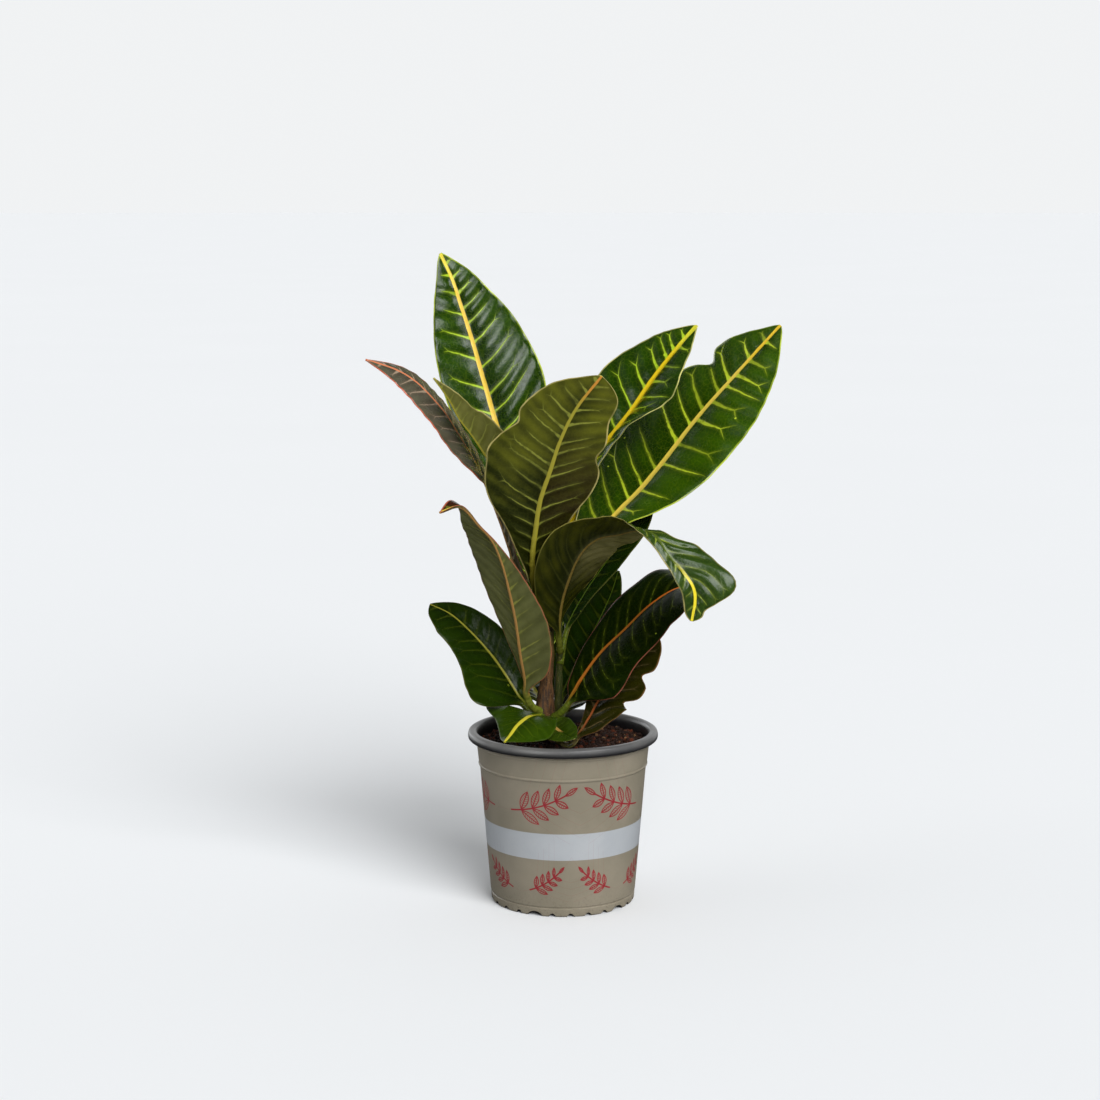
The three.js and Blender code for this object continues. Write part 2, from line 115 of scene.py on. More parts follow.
class Value:
    """What a node gives. Arithmetic with it adds the math nodes for that."""

    def __init__(self, nodes, socket):
        self.nodes = nodes
        self.socket = socket

    __add__ = sum_node("ADD")
    __sub__ = sum_node("SUBTRACT")
    __rsub__ = sum_node("SUBTRACT", turned=True)
    __mul__ = sum_node("MULTIPLY")
    __truediv__ = sum_node("DIVIDE")
    __rtruediv__ = sum_node("DIVIDE", turned=True)
    __mod__ = sum_node("FLOORED_MODULO")
    __gt__ = sum_node("GREATER_THAN")
    __lt__ = sum_node("LESS_THAN")
    __abs__ = sum_node("ABSOLUTE")


class Nodes:
    """Builds a shader or geometry tree one node at a time."""

    def __init__(self, tree):
        self.tree = tree

    def add(self, kind, inputs=None, **settings):
        """A new node, with its settings, and with its inputs by name or number."""
        made = self.tree.nodes.new(kind)
        for key, value in settings.items():
            setattr(made, key, value)
        for key, value in (inputs or {}).items():
            self.put(made.inputs[key], value)
        return made

    def put(self, socket, value):
        """Links a socket to what a node gives, or sets it to a plain value."""
        if isinstance(value, Value):
            value = value.socket
        if isinstance(value, bpy.types.Node):
            value = value.outputs[0]
        if isinstance(value, bpy.types.NodeSocket):
            self.tree.links.new(value, socket)
        else:
            socket.default_value = value

    def get(self, kind, output=0, inputs=None, **settings):
        """One output of a new node."""
        return Value(self, self.add(kind, inputs, **settings).outputs[output])

    def step(self, kind, shape, **inputs):
        """One Geometry Nodes step on a shape."""
        return self.get("GeometryNode" + kind, 0, {0: shape, **inputs})

    def named(self, sockets):
        return {socket.name: Value(self, socket) for socket in sockets}

    def group(self, inner, inputs=None):
        """Places the group that other nodes make up, and gives its outputs by name."""
        return self.named(self.add("ShaderNodeGroup", inputs, node_tree=inner.tree).outputs)

    def math(self, operation, *values, clamp=False):
        return self.get("ShaderNodeMath", 0, dict(enumerate(values)), operation=operation, use_clamp=clamp)

    def ramp(self, value, low, high, out_low=0.0, out_high=1.0):
        """Smoothly from out_low to out_high while value goes from low to high."""
        inputs = dict(enumerate((value, low, high, out_low, out_high)))
        return self.get("ShaderNodeMapRange", 0, inputs, interpolation_type="SMOOTHSTEP")

    def fall(self, value, low, high):
        """Smoothly from 1 to 0 while value goes from low to high."""
        return self.ramp(value, low, high, 1.0, 0.0)

    def blend(self, factor, first, second):
        """A colour between the first and the second."""
        return self.get("ShaderNodeMix", 2, {0: factor, 6: first, 7: second}, data_type="RGBA")

    def noise(self, place, scale, detail=2.0, roughness=0.5):
        inputs = {"Vector": place, "Scale": scale, "Detail": detail, "Roughness": roughness}
        return self.get("ShaderNodeTexNoise", "Fac", inputs)

    def join(self, x, y, z=0.0):
        return self.get("ShaderNodeCombineXYZ", 0, {0: x, 1: y, 2: z})

    def split(self, vector):
        return [Value(self, part) for part in self.add("ShaderNodeSeparateXYZ", {0: vector}).outputs]

    def uv(self, map_name):
        """The two numbers that a UV map carries."""
        return self.split(self.add("ShaderNodeUVMap", uv_map=map_name))[:2]


def new_tree(kind, name, inputs, outputs):
    """A node tree whose inputs and outputs are given as (name, kind, value)."""
    tree = bpy.data.node_groups.new(name, kind)
    for direction, sockets in (("INPUT", inputs), ("OUTPUT", outputs)):
        for socket_name, socket_kind, *value in sockets:
            socket_type = "NodeSocket" + socket_kind
            made = tree.interface.new_socket(socket_name, in_out=direction, socket_type=socket_type)
            if value:
                made.default_value = value[0]
    nodes = Nodes(tree)
    given = nodes.named(nodes.add("NodeGroupInput").outputs)
    return nodes, given, nodes.add("NodeGroupOutput").inputs


def shader_group(name, inputs, outputs):
    return new_tree("ShaderNodeTree", name, inputs, outputs)


# %% Material helpers
def srgb(red, green, blue):
    """A colour as picked on screen, 0 to 255, turned into the linear values that shaders use."""
    def linear(c):
        c = c / 255
        return c / 12.92 if c <= 0.04045 else ((c + 0.055) / 1.055) ** 2.4
    return (linear(red), linear(green), linear(blue), 1.0)


def new_material(name):
    """A material and the builder of its nodes."""
    material = bpy.data.materials.new(name)
    material.use_nodes = True
    return material, Nodes(material.node_tree)


def finish(nodes, colour, roughness, relief=None, gloss=0.5):
    """Fills in a material's shader. Its relief is a height, a depth in millimetres and a strength."""
    values = {"Base Color": colour, "Roughness": roughness, "Specular IOR Level": gloss}
    if relief:
        height, depth, strength = relief
        values["Normal"] = nodes.add("ShaderNodeBump", {
            "Height": height, "Distance": depth * MM, "Strength": strength})
    for key, value in values.items():
        nodes.put(nodes.tree.nodes["Principled BSDF"].inputs[key], value)


# %% [markdown]
# ## Camera
# The photograph looks down at the plant by 8.5 degrees from about a metre and a half away. A long lens gives
# the same flat perspective. The camera's place is given from the pot's axis.

# %% Camera
CAMERA_PLACE = (-8.2, -1466, 442.5)
CAMERA_PITCH = 8.5
CAMERA_LENS = 77.66
camera = placed("camera", bpy.data.cameras.new("camera"))
camera.location = (POT_AXIS + CAMERA_PLACE) * MM
camera.rotation_euler = (math.radians(90 - CAMERA_PITCH), 0, 0)
camera.data.sensor_width = 36
camera.data.lens = CAMERA_LENS
bpy.context.scene.camera = camera
print("camera at", [round(c, 3) for c in camera.location])

# %% [markdown]
# ## Floor and light
# The photograph was taken on seamless white. A wide flat floor gives the same on every side, if the air seen
# behind it has the floor's own brightness, so that no horizon shows. The key light is large and soft and
# stands at the right in front, which throws the broad pale shadow to the left behind the pot. It and two
# faint fills are sun lamps with a wide angle: like far soft boxes, they light the floor evenly, where near
# lamps would leave bright pools. Glossy leaves show what they mirror. The white floor and the wide lamps
# would lay a grey haze on all of them, so gloss mirrors neither: the air shows it a dark room with a few
# bright windows instead, and these give the clear sheen that the photograph has on some leaves only.

# %% Floor
FLOOR_RADII = (2000, 60000)
floor = mesh_piece("floor", *disc(FLOOR_RADII, 64))
floor_paint, nodes = new_material("floor_paint")
clouds = nodes.noise(nodes.get("ShaderNodeTexCoord", "Object"), 1.5)
finish(nodes, nodes.blend(clouds, srgb(233, 235, 237), srgb(235, 237, 239)), 1.0, gloss=0.0)
floor.data.materials.append(floor_paint)
floor.visible_glossy = False
print("floor faces:", len(floor.data.polygons))

# %% Lights
# Compass direction from the camera's side (to the right is positive), height, strength and width in degrees.
LIGHTS = {
    "key_light": (28, 36, 3.2, 42),
    "front_fill": (14, 24, 0.45, 30),
    "left_fill": (-82, 46, 0.2, 40),
}
for light_name, (aside, rise, strength, width) in LIGHTS.items():
    lamp = bpy.data.lights.new(light_name, "SUN")
    lamp.energy = strength
    lamp.angle = math.radians(width)
    light = placed(light_name, lamp)
    light.rotation_euler = (math.radians(90 - rise), 0, math.radians(aside))
    light.visible_glossy = False
print("lights:", ", ".join(LIGHTS))

# %% Air
AIR_SEEN = 0.9
AIR_FRONT = 0.14
AIR_BACK = 0.64
AIR_SHINE = 0.03
AIR_COLOUR = (0.975, 0.99, 1.0, 1)
WINDOW_SOFT = 0.3  # share of a window's half size over which its edge fades
# What gloss mirrors: compass direction and height of a window's middle, half its width and height, and its
# brightness.
WINDOWS = {
    "front_window": (-35, 15, 12, 12, 6.0),
    "side_window": (-130, 9, 26, 12, 2.0),
    "left_window": (-72, 44, 16, 7, 0.4),
    "right_window": (43, 40, 22, 11, 5.5),
    "low_window": (18, 24, 8, 7, 5.0),
    "backdrop": (180, 14, 42, 22, 0.8),
}
world = bpy.data.worlds.new("studio_air")
bpy.context.scene.world = world
world.use_nodes = True
air = Nodes(world.node_tree)
rays = air.add("ShaderNodeLightPath")
ahead_x, ahead_y, ahead_z = air.split(air.get("ShaderNodeTexCoord", "Generated"))
compass = air.math("ARCTAN2", ahead_x, ahead_y * -1.0)
rise = air.math("ARCSINE", ahead_z)
shine = AIR_SHINE


def within(value, half):
    """1 inside half a window's size in degrees, falling softly to 0 round it."""
    fade = half * WINDOW_SOFT
    return air.fall(abs(value), math.radians(half - fade), math.radians(half + fade))


for window_aside, window_rise, half_wide, half_high, bright in WINDOWS.values():
    turned = air.math("WRAP", compass - math.radians(window_aside), math.pi, -math.pi)
    lifted = rise - math.radians(window_rise)
    inside = within(turned, half_wide) * within(lifted, half_high)
    shine = inside * bright + shine
strength = air.ramp(ahead_y, -0.6, 0.8, AIR_FRONT, AIR_BACK)
for ray, shown in (("Is Glossy Ray", shine), ("Is Camera Ray", AIR_SEEN)):
    strength = (shown - strength) * rays.outputs[ray] + strength
background = world.node_tree.nodes["Background"]
background.inputs["Color"].default_value = AIR_COLOUR
air.put(background.inputs["Strength"], strength)
bpy.context.scene.view_settings.view_transform = "Standard"
print("air seen at", AIR_SEEN)

# %% [markdown]
# ## The form of a leaf
# A croton leaf is a thin blade on a round stalk. Its midrib bends through the air, each half is lifted or
# folded along it, the margins curl back, and between the side veins the blade swells a little, so that it
# looks quilted. All leaves follow this one rule, so one function makes them: it lays rows of points across
# the midrib. Sculpting nineteen leaves by hand could look as good, but they would no longer fit the frame.

# %% Curves and values along a leaf
def smooth(x):
    x = np.clip(x, 0, 1)
    return x * x * (3 - 2 * x)


def along(values, s):
    """Values at even places from 0 to 1, joined smoothly."""
    values = np.atleast_1d(np.asarray(values, float))
    if len(values) == 1:
        return np.full_like(s, values[0])
    x = np.clip(s, 0, 1) * (len(values) - 1)
    i = np.minimum(x.astype(int), len(values) - 2)
    near = smooth(x - i)
    return values[i] * (1 - near) + values[i + 1] * near


def half_width(values, s):
    """Half widths at places that crowd towards both ends of the blade, joined by a Catmull-Rom curve."""
    values = np.asarray(values, float)
    n = len(values) - 1
    x = np.arccos(np.clip(1 - 2 * s, -1, 1)) / np.pi * n
    i = np.minimum(x.astype(int), n - 1)
    f = x - i
    a, b, c, d = (values[np.clip(k, 0, n)] for k in (i - 1, i, i + 1, i + 2))
    curve = b + 0.5 * f * (c - a + f * (2 * a - 5 * b + 4 * c - d + f * (3 * (b - c) + d - a)))
    return np.maximum(0, curve)


def curve_through(points, steps=120):
    """A smooth curve through points, as many close points, with the distance along it at each of them."""
    p = np.asarray(points, float)
    p = np.vstack([2 * p[0] - p[1], p, 2 * p[-1] - p[-2]])
    found = []
    for i in range(len(p) - 3):
        before, start, end, after = p[i:i + 4]
        spans = [math.sqrt(max(np.linalg.norm(q - o), 1e-6)) for o, q in zip(p[i:i + 3], p[i + 1:i + 4])]
        first, middle, last = spans
        chord = (end - start) / middle
        leave = ((start - before) / first - (end - before) / (first + middle) + chord) * middle
        arrive = (chord - (after - start) / (middle + last) + (after - end) / last) * middle
        for u in np.linspace(0, 1, steps, endpoint=i == len(p) - 4):
            found.append((2 * u**3 - 3 * u**2 + 1) * start + (u**3 - 2 * u**2 + u) * leave
                         + (3 * u**2 - 2 * u**3) * end + (u**3 - u**2) * arrive)
    found = np.array(found)
    lengths = np.linalg.norm(np.diff(found, axis=0), axis=1)
    return found, np.concatenate([[0], np.cumsum(lengths)])


def unit(vectors):
    return vectors / np.linalg.norm(vectors, axis=-1, keepdims=True)


# %% [markdown]
# ## The nineteen leaves
# These are nearly the CAD part's values. Some margins are a few millimetres fuller, as the photograph has
# them. They count from the pot's axis: the path follows the midrib from the stem to the tip, heading is the
# way the leaf points, roll turns the blade about its midrib, fold lifts each half and curl turns the margins
# down. The side veins are listed where the photograph shows them, as places from 0 at the blade's base to 1
# at its tip. Elsewhere they are spaced by rule.

# %% Leaf shapes
# What a leaf has where its own row doesn't say otherwise. A wave is its height, number and phase, thick is
# the radius of the stalk, and swell is the share of the usual swelling between the veins.
USUAL = dict(roll=[0], fold=[20, 14, 10], curl=15, wave=(0.5, 3, 0.3), nicks=[], lean={}, thick=1.75, swell=1)
LEAVES = {
    "crown": dict(
        path=[(-7, 1, 199), (-13, 10, 211), (-26, 22, 243), (-41, 34, 295), (-49, 40, 322), (-58, 46, 353),
              (-65, 50, 374), (-70, 53, 389), (-78, 56, 406)],
        stalk=30, heading=[105], roll=[15, 20, 20],
        fold={"left": [25, 16, 10], "right": [30, 23, 18]}, curl=20,
        left=[0, 3, 8, 16, 26, 25, 16, 6, 0], right=[0, 3, 12, 25, 39, 33, 19, 6, 0], wave=(1.2, 3, 0.1),
        lean={"right": (0.28, 0.013)},
        veins=([0.14, 0.21, 0.29, 0.37, 0.45, 0.535, 0.635, 0.705, 0.785, 0.855, 0.92],
               [0.17, 0.24, 0.31, 0.38, 0.455, 0.515, 0.605, 0.69, 0.755, 0.805, 0.86, 0.91])),
    "far_left": dict(
        path=[(-9, 0, 170), (-19, 0, 193), (-30, -4, 216), (-39, -8, 243), (-49, -12, 269), (-59, -15, 288),
              (-66, -17, 300), (-72, -18, 310), (-81, -20, 321), (-90, -21, 330), (-99, -22, 336),
              (-108, -24, 340), (-120, -26, 344)],
        stalk=25, heading=[200], roll=[12, 14, 35, 38], fold=[20, 10, -8, -8], curl=5,
        left=[0, 5, 11, 14, 19, 19, 13, 4, 0], right=[0, 5, 12, 20, 22, 17, 9, 3, 0], veins=(17, 17)),
    "folded": dict(
        path=[(-9, 0, 182), (-20, -13, 209), (-33, -24, 246), (-45, -32, 282), (-51, -33, 292),
              (-57, -35, 301), (-63, -36, 309), (-68, -38, 319), (-73, -40, 327), (-78, -42, 334)],
        stalk=45, heading=[215], fold={"left": [35, 30, 25], "right": [50, 45, 40]}, curl=8,
        left=[0, 4, 10, 15, 21, 20, 11, 3, 0], right=[0, 8, 15, 18, 21, 20, 11, 3, 0], veins=(14, 14)),
    "front_tall": dict(
        path=[(-8, 0, 176), (-17, -14, 197), (-19, -27, 221), (-17, -38, 241), (-14, -48, 261),
              (-8, -57, 280), (-2, -65, 299), (7, -72, 318), (22, -78, 338)],
        stalk=26, heading=[270], fold=[25, 12, 8], curl=20,
        left=[0, 3, 9, 17, 28, 29, 22, 17, 0], right=[0, 2, 6, 19, 37, 34, 24, 8, 0], wave=(1.2, 2.5, 0.1),
        nicks=[("left", 0.68, 5, 0.05), ("right", 0.61, -3, 0.05), ("right", 0.72, 5, 0.035)],
        lean={"right": (0.28, 0.004)},
        veins=([0.13, 0.2, 0.27, 0.335, 0.4, 0.475, 0.55, 0.585, 0.65, 0.69, 0.775, 0.84, 0.895],
               [0.15, 0.21, 0.27, 0.33, 0.39, 0.43, 0.495, 0.565, 0.6, 0.655, 0.72, 0.755, 0.81, 0.865,
                0.92])),
    "upper_right": dict(
        path=[(-8, 1, 186), (-2, 7, 205), (7, 14, 240), (19, 21, 274), (30, 25, 290), (44, 29, 308),
              (57, 33, 327), (72, 37, 346), (85, 40, 361)],
        stalk=36, heading=[60], fold={"left": [25, 18, 12], "right": [58, 58, 54, 32, 20]},
        left=[0, 3, 8, 18, 31, 33, 22, 8, 0], right=[0, 3, 9, 20, 30, 32, 18, 5, 0], wave=(0.8, 3, 0.3),
        lean={"right": (0.15, 0.003)},
        veins=([0.13, 0.2, 0.27, 0.35, 0.425, 0.5, 0.6, 0.69, 0.775, 0.83, 0.87, 0.93],
               [0.12, 0.2, 0.28, 0.36, 0.44, 0.52, 0.6, 0.655, 0.73, 0.8, 0.89])),
    "broad_right": dict(
        path=[(-8, 3, 183), (11, 12, 212), (31, 24, 239), (49, 30, 257), (65, 34, 276), (87, 38, 304),
              (112, 41, 332), (138, 42, 361)],
        stalk=30, heading=[50], fold=[22, 14, 10], curl=20,
        left=[0, 10, 29, 43, 45, 37, 27, 9, 0], right=[0, 4, 10, 29, 43, 42, 29, 10, 0], wave=(0.8, 3, 0.3),
        nicks=[("left", 0.775, 10, 0.03)], lean={"left": (0.38, 0.004), "right": (0.12, 0.002)},
        veins=([0.1, 0.16, 0.22, 0.285, 0.345, 0.41, 0.52, 0.585, 0.645, 0.72, 0.765, 0.86, 0.93],
               [0.11, 0.18, 0.25, 0.33, 0.44, 0.515, 0.61, 0.685, 0.75, 0.795, 0.855, 0.93])),
    "arching": dict(
        path=[(-2, 3, 158), (-3, -8, 176), (-1, -14, 194), (3, -19, 208), (8, -24, 221), (14, -28, 230),
              (22, -32, 236), (34, -37, 239), (45, -42, 242), (55, -48, 239), (64, -53, 227), (72, -56, 218),
              (78, -58, 209), (79, -59, 201), (77, -60, 189)],
        stalk=14, heading=[-35, -35, -45, -75, -80], roll=[0, 12, 18, 0, -10],
        fold={"left": [25, 0, 5, 10], "right": [30, 20, 15, 10]},
        left=[0, 6, 17, 23, 18, 7, 20, 9, 0], right=[0, 7, 17, 27, 25, 6, 8, 6, 0],
        nicks=[("right", 0.45, 4, 0.05), ("left", 0.75, -7, 0.06), ("left", 0.9, -8, 0.025),
               ("left", 0.955, 3, 0.02)], veins=(17, 17), lean={"left": (1.1, 0.005), "right": (0.9, 0.005)}),
    "behind_arch": dict(
        path=[(-2, 4, 150), (3, 12, 172), (14, 20, 192), (33, 28, 219), (49, 34, 247), (59, 37, 269)],
        stalk=20, heading=[50],
        left=[0, 5, 11, 16, 18, 16, 10, 4, 0], right=[0, 3, 7, 10, 14, 16, 11, 5, 0],
        veins=(11, 11), swell=0.3),
    "curled": dict(
        path=[(-11, -1, 120), (-19, -9, 125), (-23, -12, 134), (-23, -15, 142), (-26, -21, 161),
              (-29, -28, 184), (-33, -34, 204), (-37, -38, 220), (-43, -42, 235), (-51, -46, 245),
              (-62, -52, 257), (-74, -61, 255)],
        stalk=22, heading=[225], roll=[0, 0, 0, 0, 35], fold={"left": [20, 35, 70], "right": [20, 15, 5]},
        left=[0, 5, 19, 21, 12, 2, 1, 3, 0], right=[0, 2, 8, 21, 28, 27, 14, 4, 0],
        wave=(0.3, 2, 0.3), veins=(14, 14), thick=2.2),
    "low_left": dict(
        path=[(-11, 1, 117), (-21, 5, 120), (-27, 9, 126), (-37, 15, 141), (-46, 19, 153), (-59, 23, 167),
              (-72, 26, 178), (-85, 28, 184)],
        stalk=15, heading=[150], roll=[20, 25, 25],
        left=[0, 17, 36, 34, 26, 20, 18, 10, 0], right=[0, 5, 10, 14, 19, 16, 10, 4, 0], wave=(0.5, 2, 0.3),
        veins=(8, 9), swell=0.4, thick=2.2),
    "over_rim": dict(
        path=[(-11, -1, 117), (-16, -12, 120), (-21, -19, 121), (-28, -29, 118), (-33, -37, 113),
              (-36, -44, 111)],
        stalk=8, heading=[235], fold={"left": [10, 0, -10], "right": [15, 4, -8]}, curl=10,
        left=[0, 8, 16, 21, 25, 24, 12, 3, 0], right=[0, 20, 38, 33, 20, 12, 6, 2, 0], wave=(0.3, 2, 0.3),
        veins=(7, 7), swell=0.2),
    "small_front": dict(
        path=[(-10, -1, 114), (-9, -9, 115), (-5, -16, 113), (-1, -23, 112), (4, -29, 111), (8, -33, 111)],
        stalk=8, heading=[-50], fold={"left": [50, 52, 50], "right": [10, 0, -10]}, curl=10,
        left=[0, 4, 8, 10, 10, 9, 7, 3, 0], right=[0, 5, 10, 13, 14, 12, 8, 4, 0], wave=(0.2, 2, 0.3),
        veins=(6, 6), swell=0.2),
    "dark_right": dict(
        path=[(-10, -1, 116), (-4, -5, 119), (2, -7, 125), (11, -3, 140), (23, 3, 156), (39, 8, 171),
              (55, 12, 186), (71, 14, 196), (82, 15, 198), (91, 16, 196)],
        stalk=18, heading=[45], roll=[-6, 0, 0],
        left=[0, 4, 9, 15, 22, 25, 28, 18, 0], right=[0, 16, 38, 39, 35, 32, 30, 12, 0], wave=(0.5, 2, 0.3),
        veins=(11, 12), swell=0.15, thick=2.1, lean={"left": (1.0, 0.0), "right": (-0.85, 0.013)}),
    "narrow_right": dict(
        path=[(-4, 5, 116), (-3, 9, 121), (1, 15, 131), (8, 25, 145), (23, 37, 171), (32, 43, 190),
              (36, 46, 203)],
        stalk=12, heading=[65],
        left=[0, 9, 20, 23, 22, 17, 10, 4, 0], right=[0, 5, 12, 16, 16, 13, 7, 3, 0],
        veins=(10, 10), swell=0.2),
    "wavy": dict(
        path=[(-10, -1, 109), (-5, -12, 106.5), (-1, -21, 104.6), (5, -25, 104.6), (9, -24, 109.5),
              (13, -21, 114.5), (18, -16, 122), (23, -11, 130), (36, -3, 141), (48, 5, 156), (58, 10, 169)],
        stalk=34, heading=[40], roll=[0, -10, -15], fold=[15, 10, 5],
        left=[0, 3, 5, 8, 14, 14, 9, 4, 0], right=[0, 8, 19, 25, 25, 19, 15, 8, 0],
        nicks=[("right", 0.42, 8, 0.05), ("right", 0.66, 8, 0.05)], veins=(9, 8)),
    "back_high": dict(
        path=[(-9, 2, 160), (-12, 26, 180), (-15, 50, 213), (-16, 66, 244), (-15, 76, 270)],
        stalk=22, heading=[92], curl=20,
        left=[0, 4, 11, 17, 20, 19, 13, 5, 0], right=[0, 4, 11, 17, 20, 19, 13, 5, 0], wave=(1.5, 3, 0.2),
        veins=(10, 11)),
    "back_left": dict(
        path=[(-11, 1, 122), (-16, 22, 125), (-22, 40, 132), (-28, 54, 139)],
        stalk=14, heading=[118], curl=20,
        left=[0, 10, 15, 17, 16, 15, 10, 4, 0], right=[0, 8, 12, 15, 16, 15, 10, 4, 0], wave=(1, 2, 0.2),
        veins=(6, 6)),
    "back_right": dict(
        path=[(-4, 6, 112), (6, 28, 119), (20, 44, 130), (32, 54, 139)],
        stalk=16, heading=[52], curl=20,
        left=[0, 8, 12, 13, 13, 12, 8, 3, 0], right=[0, 8, 12, 13, 13, 12, 8, 3, 0], wave=(1, 2, 0.6),
        veins=(6, 6)),
    "back_rising": dict(
        path=[(-10, 2, 146), (-10, 28, 160), (-9, 56, 186), (-7, 80, 214)],
        stalk=20, heading=[88], curl=20,
        left=[0, 3, 7, 10, 12, 11, 8, 3, 0], right=[0, 3, 7, 11, 14, 13, 9, 3, 0], wave=(1.5, 2.5, 0.4),
        veins=(9, 9)),
}
print("leaves:", len(LEAVES))

# %% [markdown]
# ## Rows, columns and relief
# The blade is a thin closed shell. Rows cross it every millimetre and a half, and the columns crowd towards
# the midrib, where the form changes fastest. On the way the function notes, for every point, how far it is
# from the base, the midrib and the margin, and where it lies between two side veins. Those notes become UV
# maps, and the material draws the veins from them.

# %% Leaf sizes
BLADE = 0.62  # thickness of the blade
MARGIN = 0.4  # thickness at its margin
ROUND = 0.18  # how far its rounded edge stands out
RIB = 1.2  # how far the midrib stands out below
RIDGE = 0.35  # and above
ROW = 1.5
LOOK = 0.6  # how far along the midrib, each way, its direction is taken
COLUMNS = 15
CROWD = 1.4  # how much the columns crowd towards the midrib
CURL_STEPS = 8
LEAST_HALF = 0.8
SWELL = 0.9  # how far the blade swells between two side veins
VEIN_LEAN = 0.56  # how far a side vein runs forward for each millimetre outward
VEIN_BEND = 0.005
VEIN_ANGLE = math.radians(60)
RIGHT_VEINS = 30  # added to the numbers of the right half's veins, so that no vein has a twin
chance = np.random.default_rng(7)


def vein_places(given, length):
    """Where the side veins leave the midrib, in millimetres, with two more beyond each end."""
    if isinstance(given, int):
        even = np.linspace(0.09, 0.94, given)
        given = even + chance.uniform(-0.18, 0.18, given) * (even[1] - even[0])
    places = np.asarray(given) * length
    before = (places[1] - places[0]) * np.array([2, 1])
    after = (places[-1] - places[-2]) * np.array([1, 2])
    return np.concatenate([places[0] - before, places, places[-1] + after])


def leaf_frames(leaf, path, arc, place, s):
    """Midrib point, right-hand direction and upward direction for every row."""
    def at(distance):
        return np.stack([np.interp(distance, arc, path[:, k]) for k in range(3)], axis=1)

    ahead = unit(at(np.minimum(place + LOOK, arc[-1])) - at(np.maximum(place - LOOK, 0)))
    heading = np.radians(along(leaf["heading"], s))
    aside = np.stack([np.sin(heading), -np.cos(heading), np.zeros_like(heading)], axis=1)
    aside = unit(aside - (aside * ahead).sum(axis=1, keepdims=True) * ahead)
    above = np.cross(aside, ahead)
    roll = np.radians(along(leaf["roll"], s))[:, None]
    right = aside * np.cos(roll) + above * np.sin(roll)
    return at(place), right, np.cross(right, ahead)


def leaf_half(leaf, side, s, place, start, length, frames):
    """Upper and lower points of one half, row by row from the midrib outward, and notes for the UV maps."""
    side_name = "left" if side < 0 else "right"
    h = half_width(leaf[side_name], s)
    for nick_side, nick_at, depth, reach in leaf["nicks"]:
        if nick_side == side_name:
            h = h - depth * np.exp(-((s - nick_at) / reach) ** 2) * np.minimum(1, h / 8)
    h = np.maximum(h, LEAST_HALF)[:, None]
    v = (np.arange(COLUMNS + 1) / COLUMNS)[None, :] ** CROWD
    s, place = s[:, None], place[:, None]
    across_leaf = v * h
    fold = leaf["fold"][side_name] if isinstance(leaf["fold"], dict) else leaf["fold"]
    fold = np.radians(along(fold, s.ravel()))[:, None]
    curl = math.radians(leaf["curl"])
    flat, up = 0, 0
    for step in range(CURL_STEPS):
        angle = fold - curl * v * (step + 0.5) / CURL_STEPS
        flat = flat + np.cos(angle) * v * h / CURL_STEPS
        up = up + np.sin(angle) * v * h / CURL_STEPS
    size, count, phase = leaf["wave"]
    turn = 2 * np.pi * (count * s + phase + (0.37 if side > 0 else 0))
    up = up + size * v**2 * np.sin(turn) * smooth(s * 6) * smooth((1 - s) * 5)
    midrib, right, above = (f[:, None, :] for f in frames)
    tilt = (fold - curl * v)[..., None]
    outward = above * np.cos(tilt) - side * right * np.sin(tilt)
    # The side veins, and the swelling of the blade between them.
    veins = vein_places(leaf["veins"][0 if side < 0 else 1], length)
    lean, bend = leaf["lean"].get(side_name, (VEIN_LEAN, VEIN_BEND))
    forward = place - start - lean * across_leaf - bend * across_leaf**2
    vein = np.interp(forward, veins, np.arange(len(veins)))
    gaps = np.interp(forward, (veins[1:] + veins[:-1]) / 2, np.diff(veins)) * math.sin(VEIN_ANGLE)
    swelling = np.sin(np.pi * vein) ** 2 * smooth(v * 3.5) * (1 - 0.5 * v)
    swelling = swelling * smooth(s * 9) * smooth((1 - s) * 7)
    swelling = swelling * SWELL * np.minimum(1, h / 14) * leaf["swell"]
    middle = midrib + side * flat[..., None] * right + up[..., None] * above + swelling[..., None] * outward
    # The thickness, with the midrib standing out below and a little above.
    thick = BLADE + (MARGIN - BLADE) * smooth(v * 1.5 - 0.5)
    rib_reach = 2.6 - 1.6 * s
    rib = np.sqrt(np.clip(1 - (across_leaf / rib_reach) ** 2, 0, 1))
    upper = middle + (thick / 2 + RIDGE * rib**2 * (1 - 0.6 * s))[..., None] * outward
    lower = middle - (thick / 2 + RIB * rib * (1 - 0.7 * s))[..., None] * outward
    edge = middle[:, -1] + ROUND * (side * right * np.cos(tilt) + above * np.sin(tilt))[:, -1]
    notes = dict(
        veins=(vein + (RIGHT_VEINS if side > 0 else 0), gaps),
        place=(place - start, side * across_leaf),
        leaf=(s, h * (1 - v)))
    notes = {key: np.stack(np.broadcast_arrays(*pair), axis=-1) for key, pair in notes.items()}
    return upper, lower, edge, notes


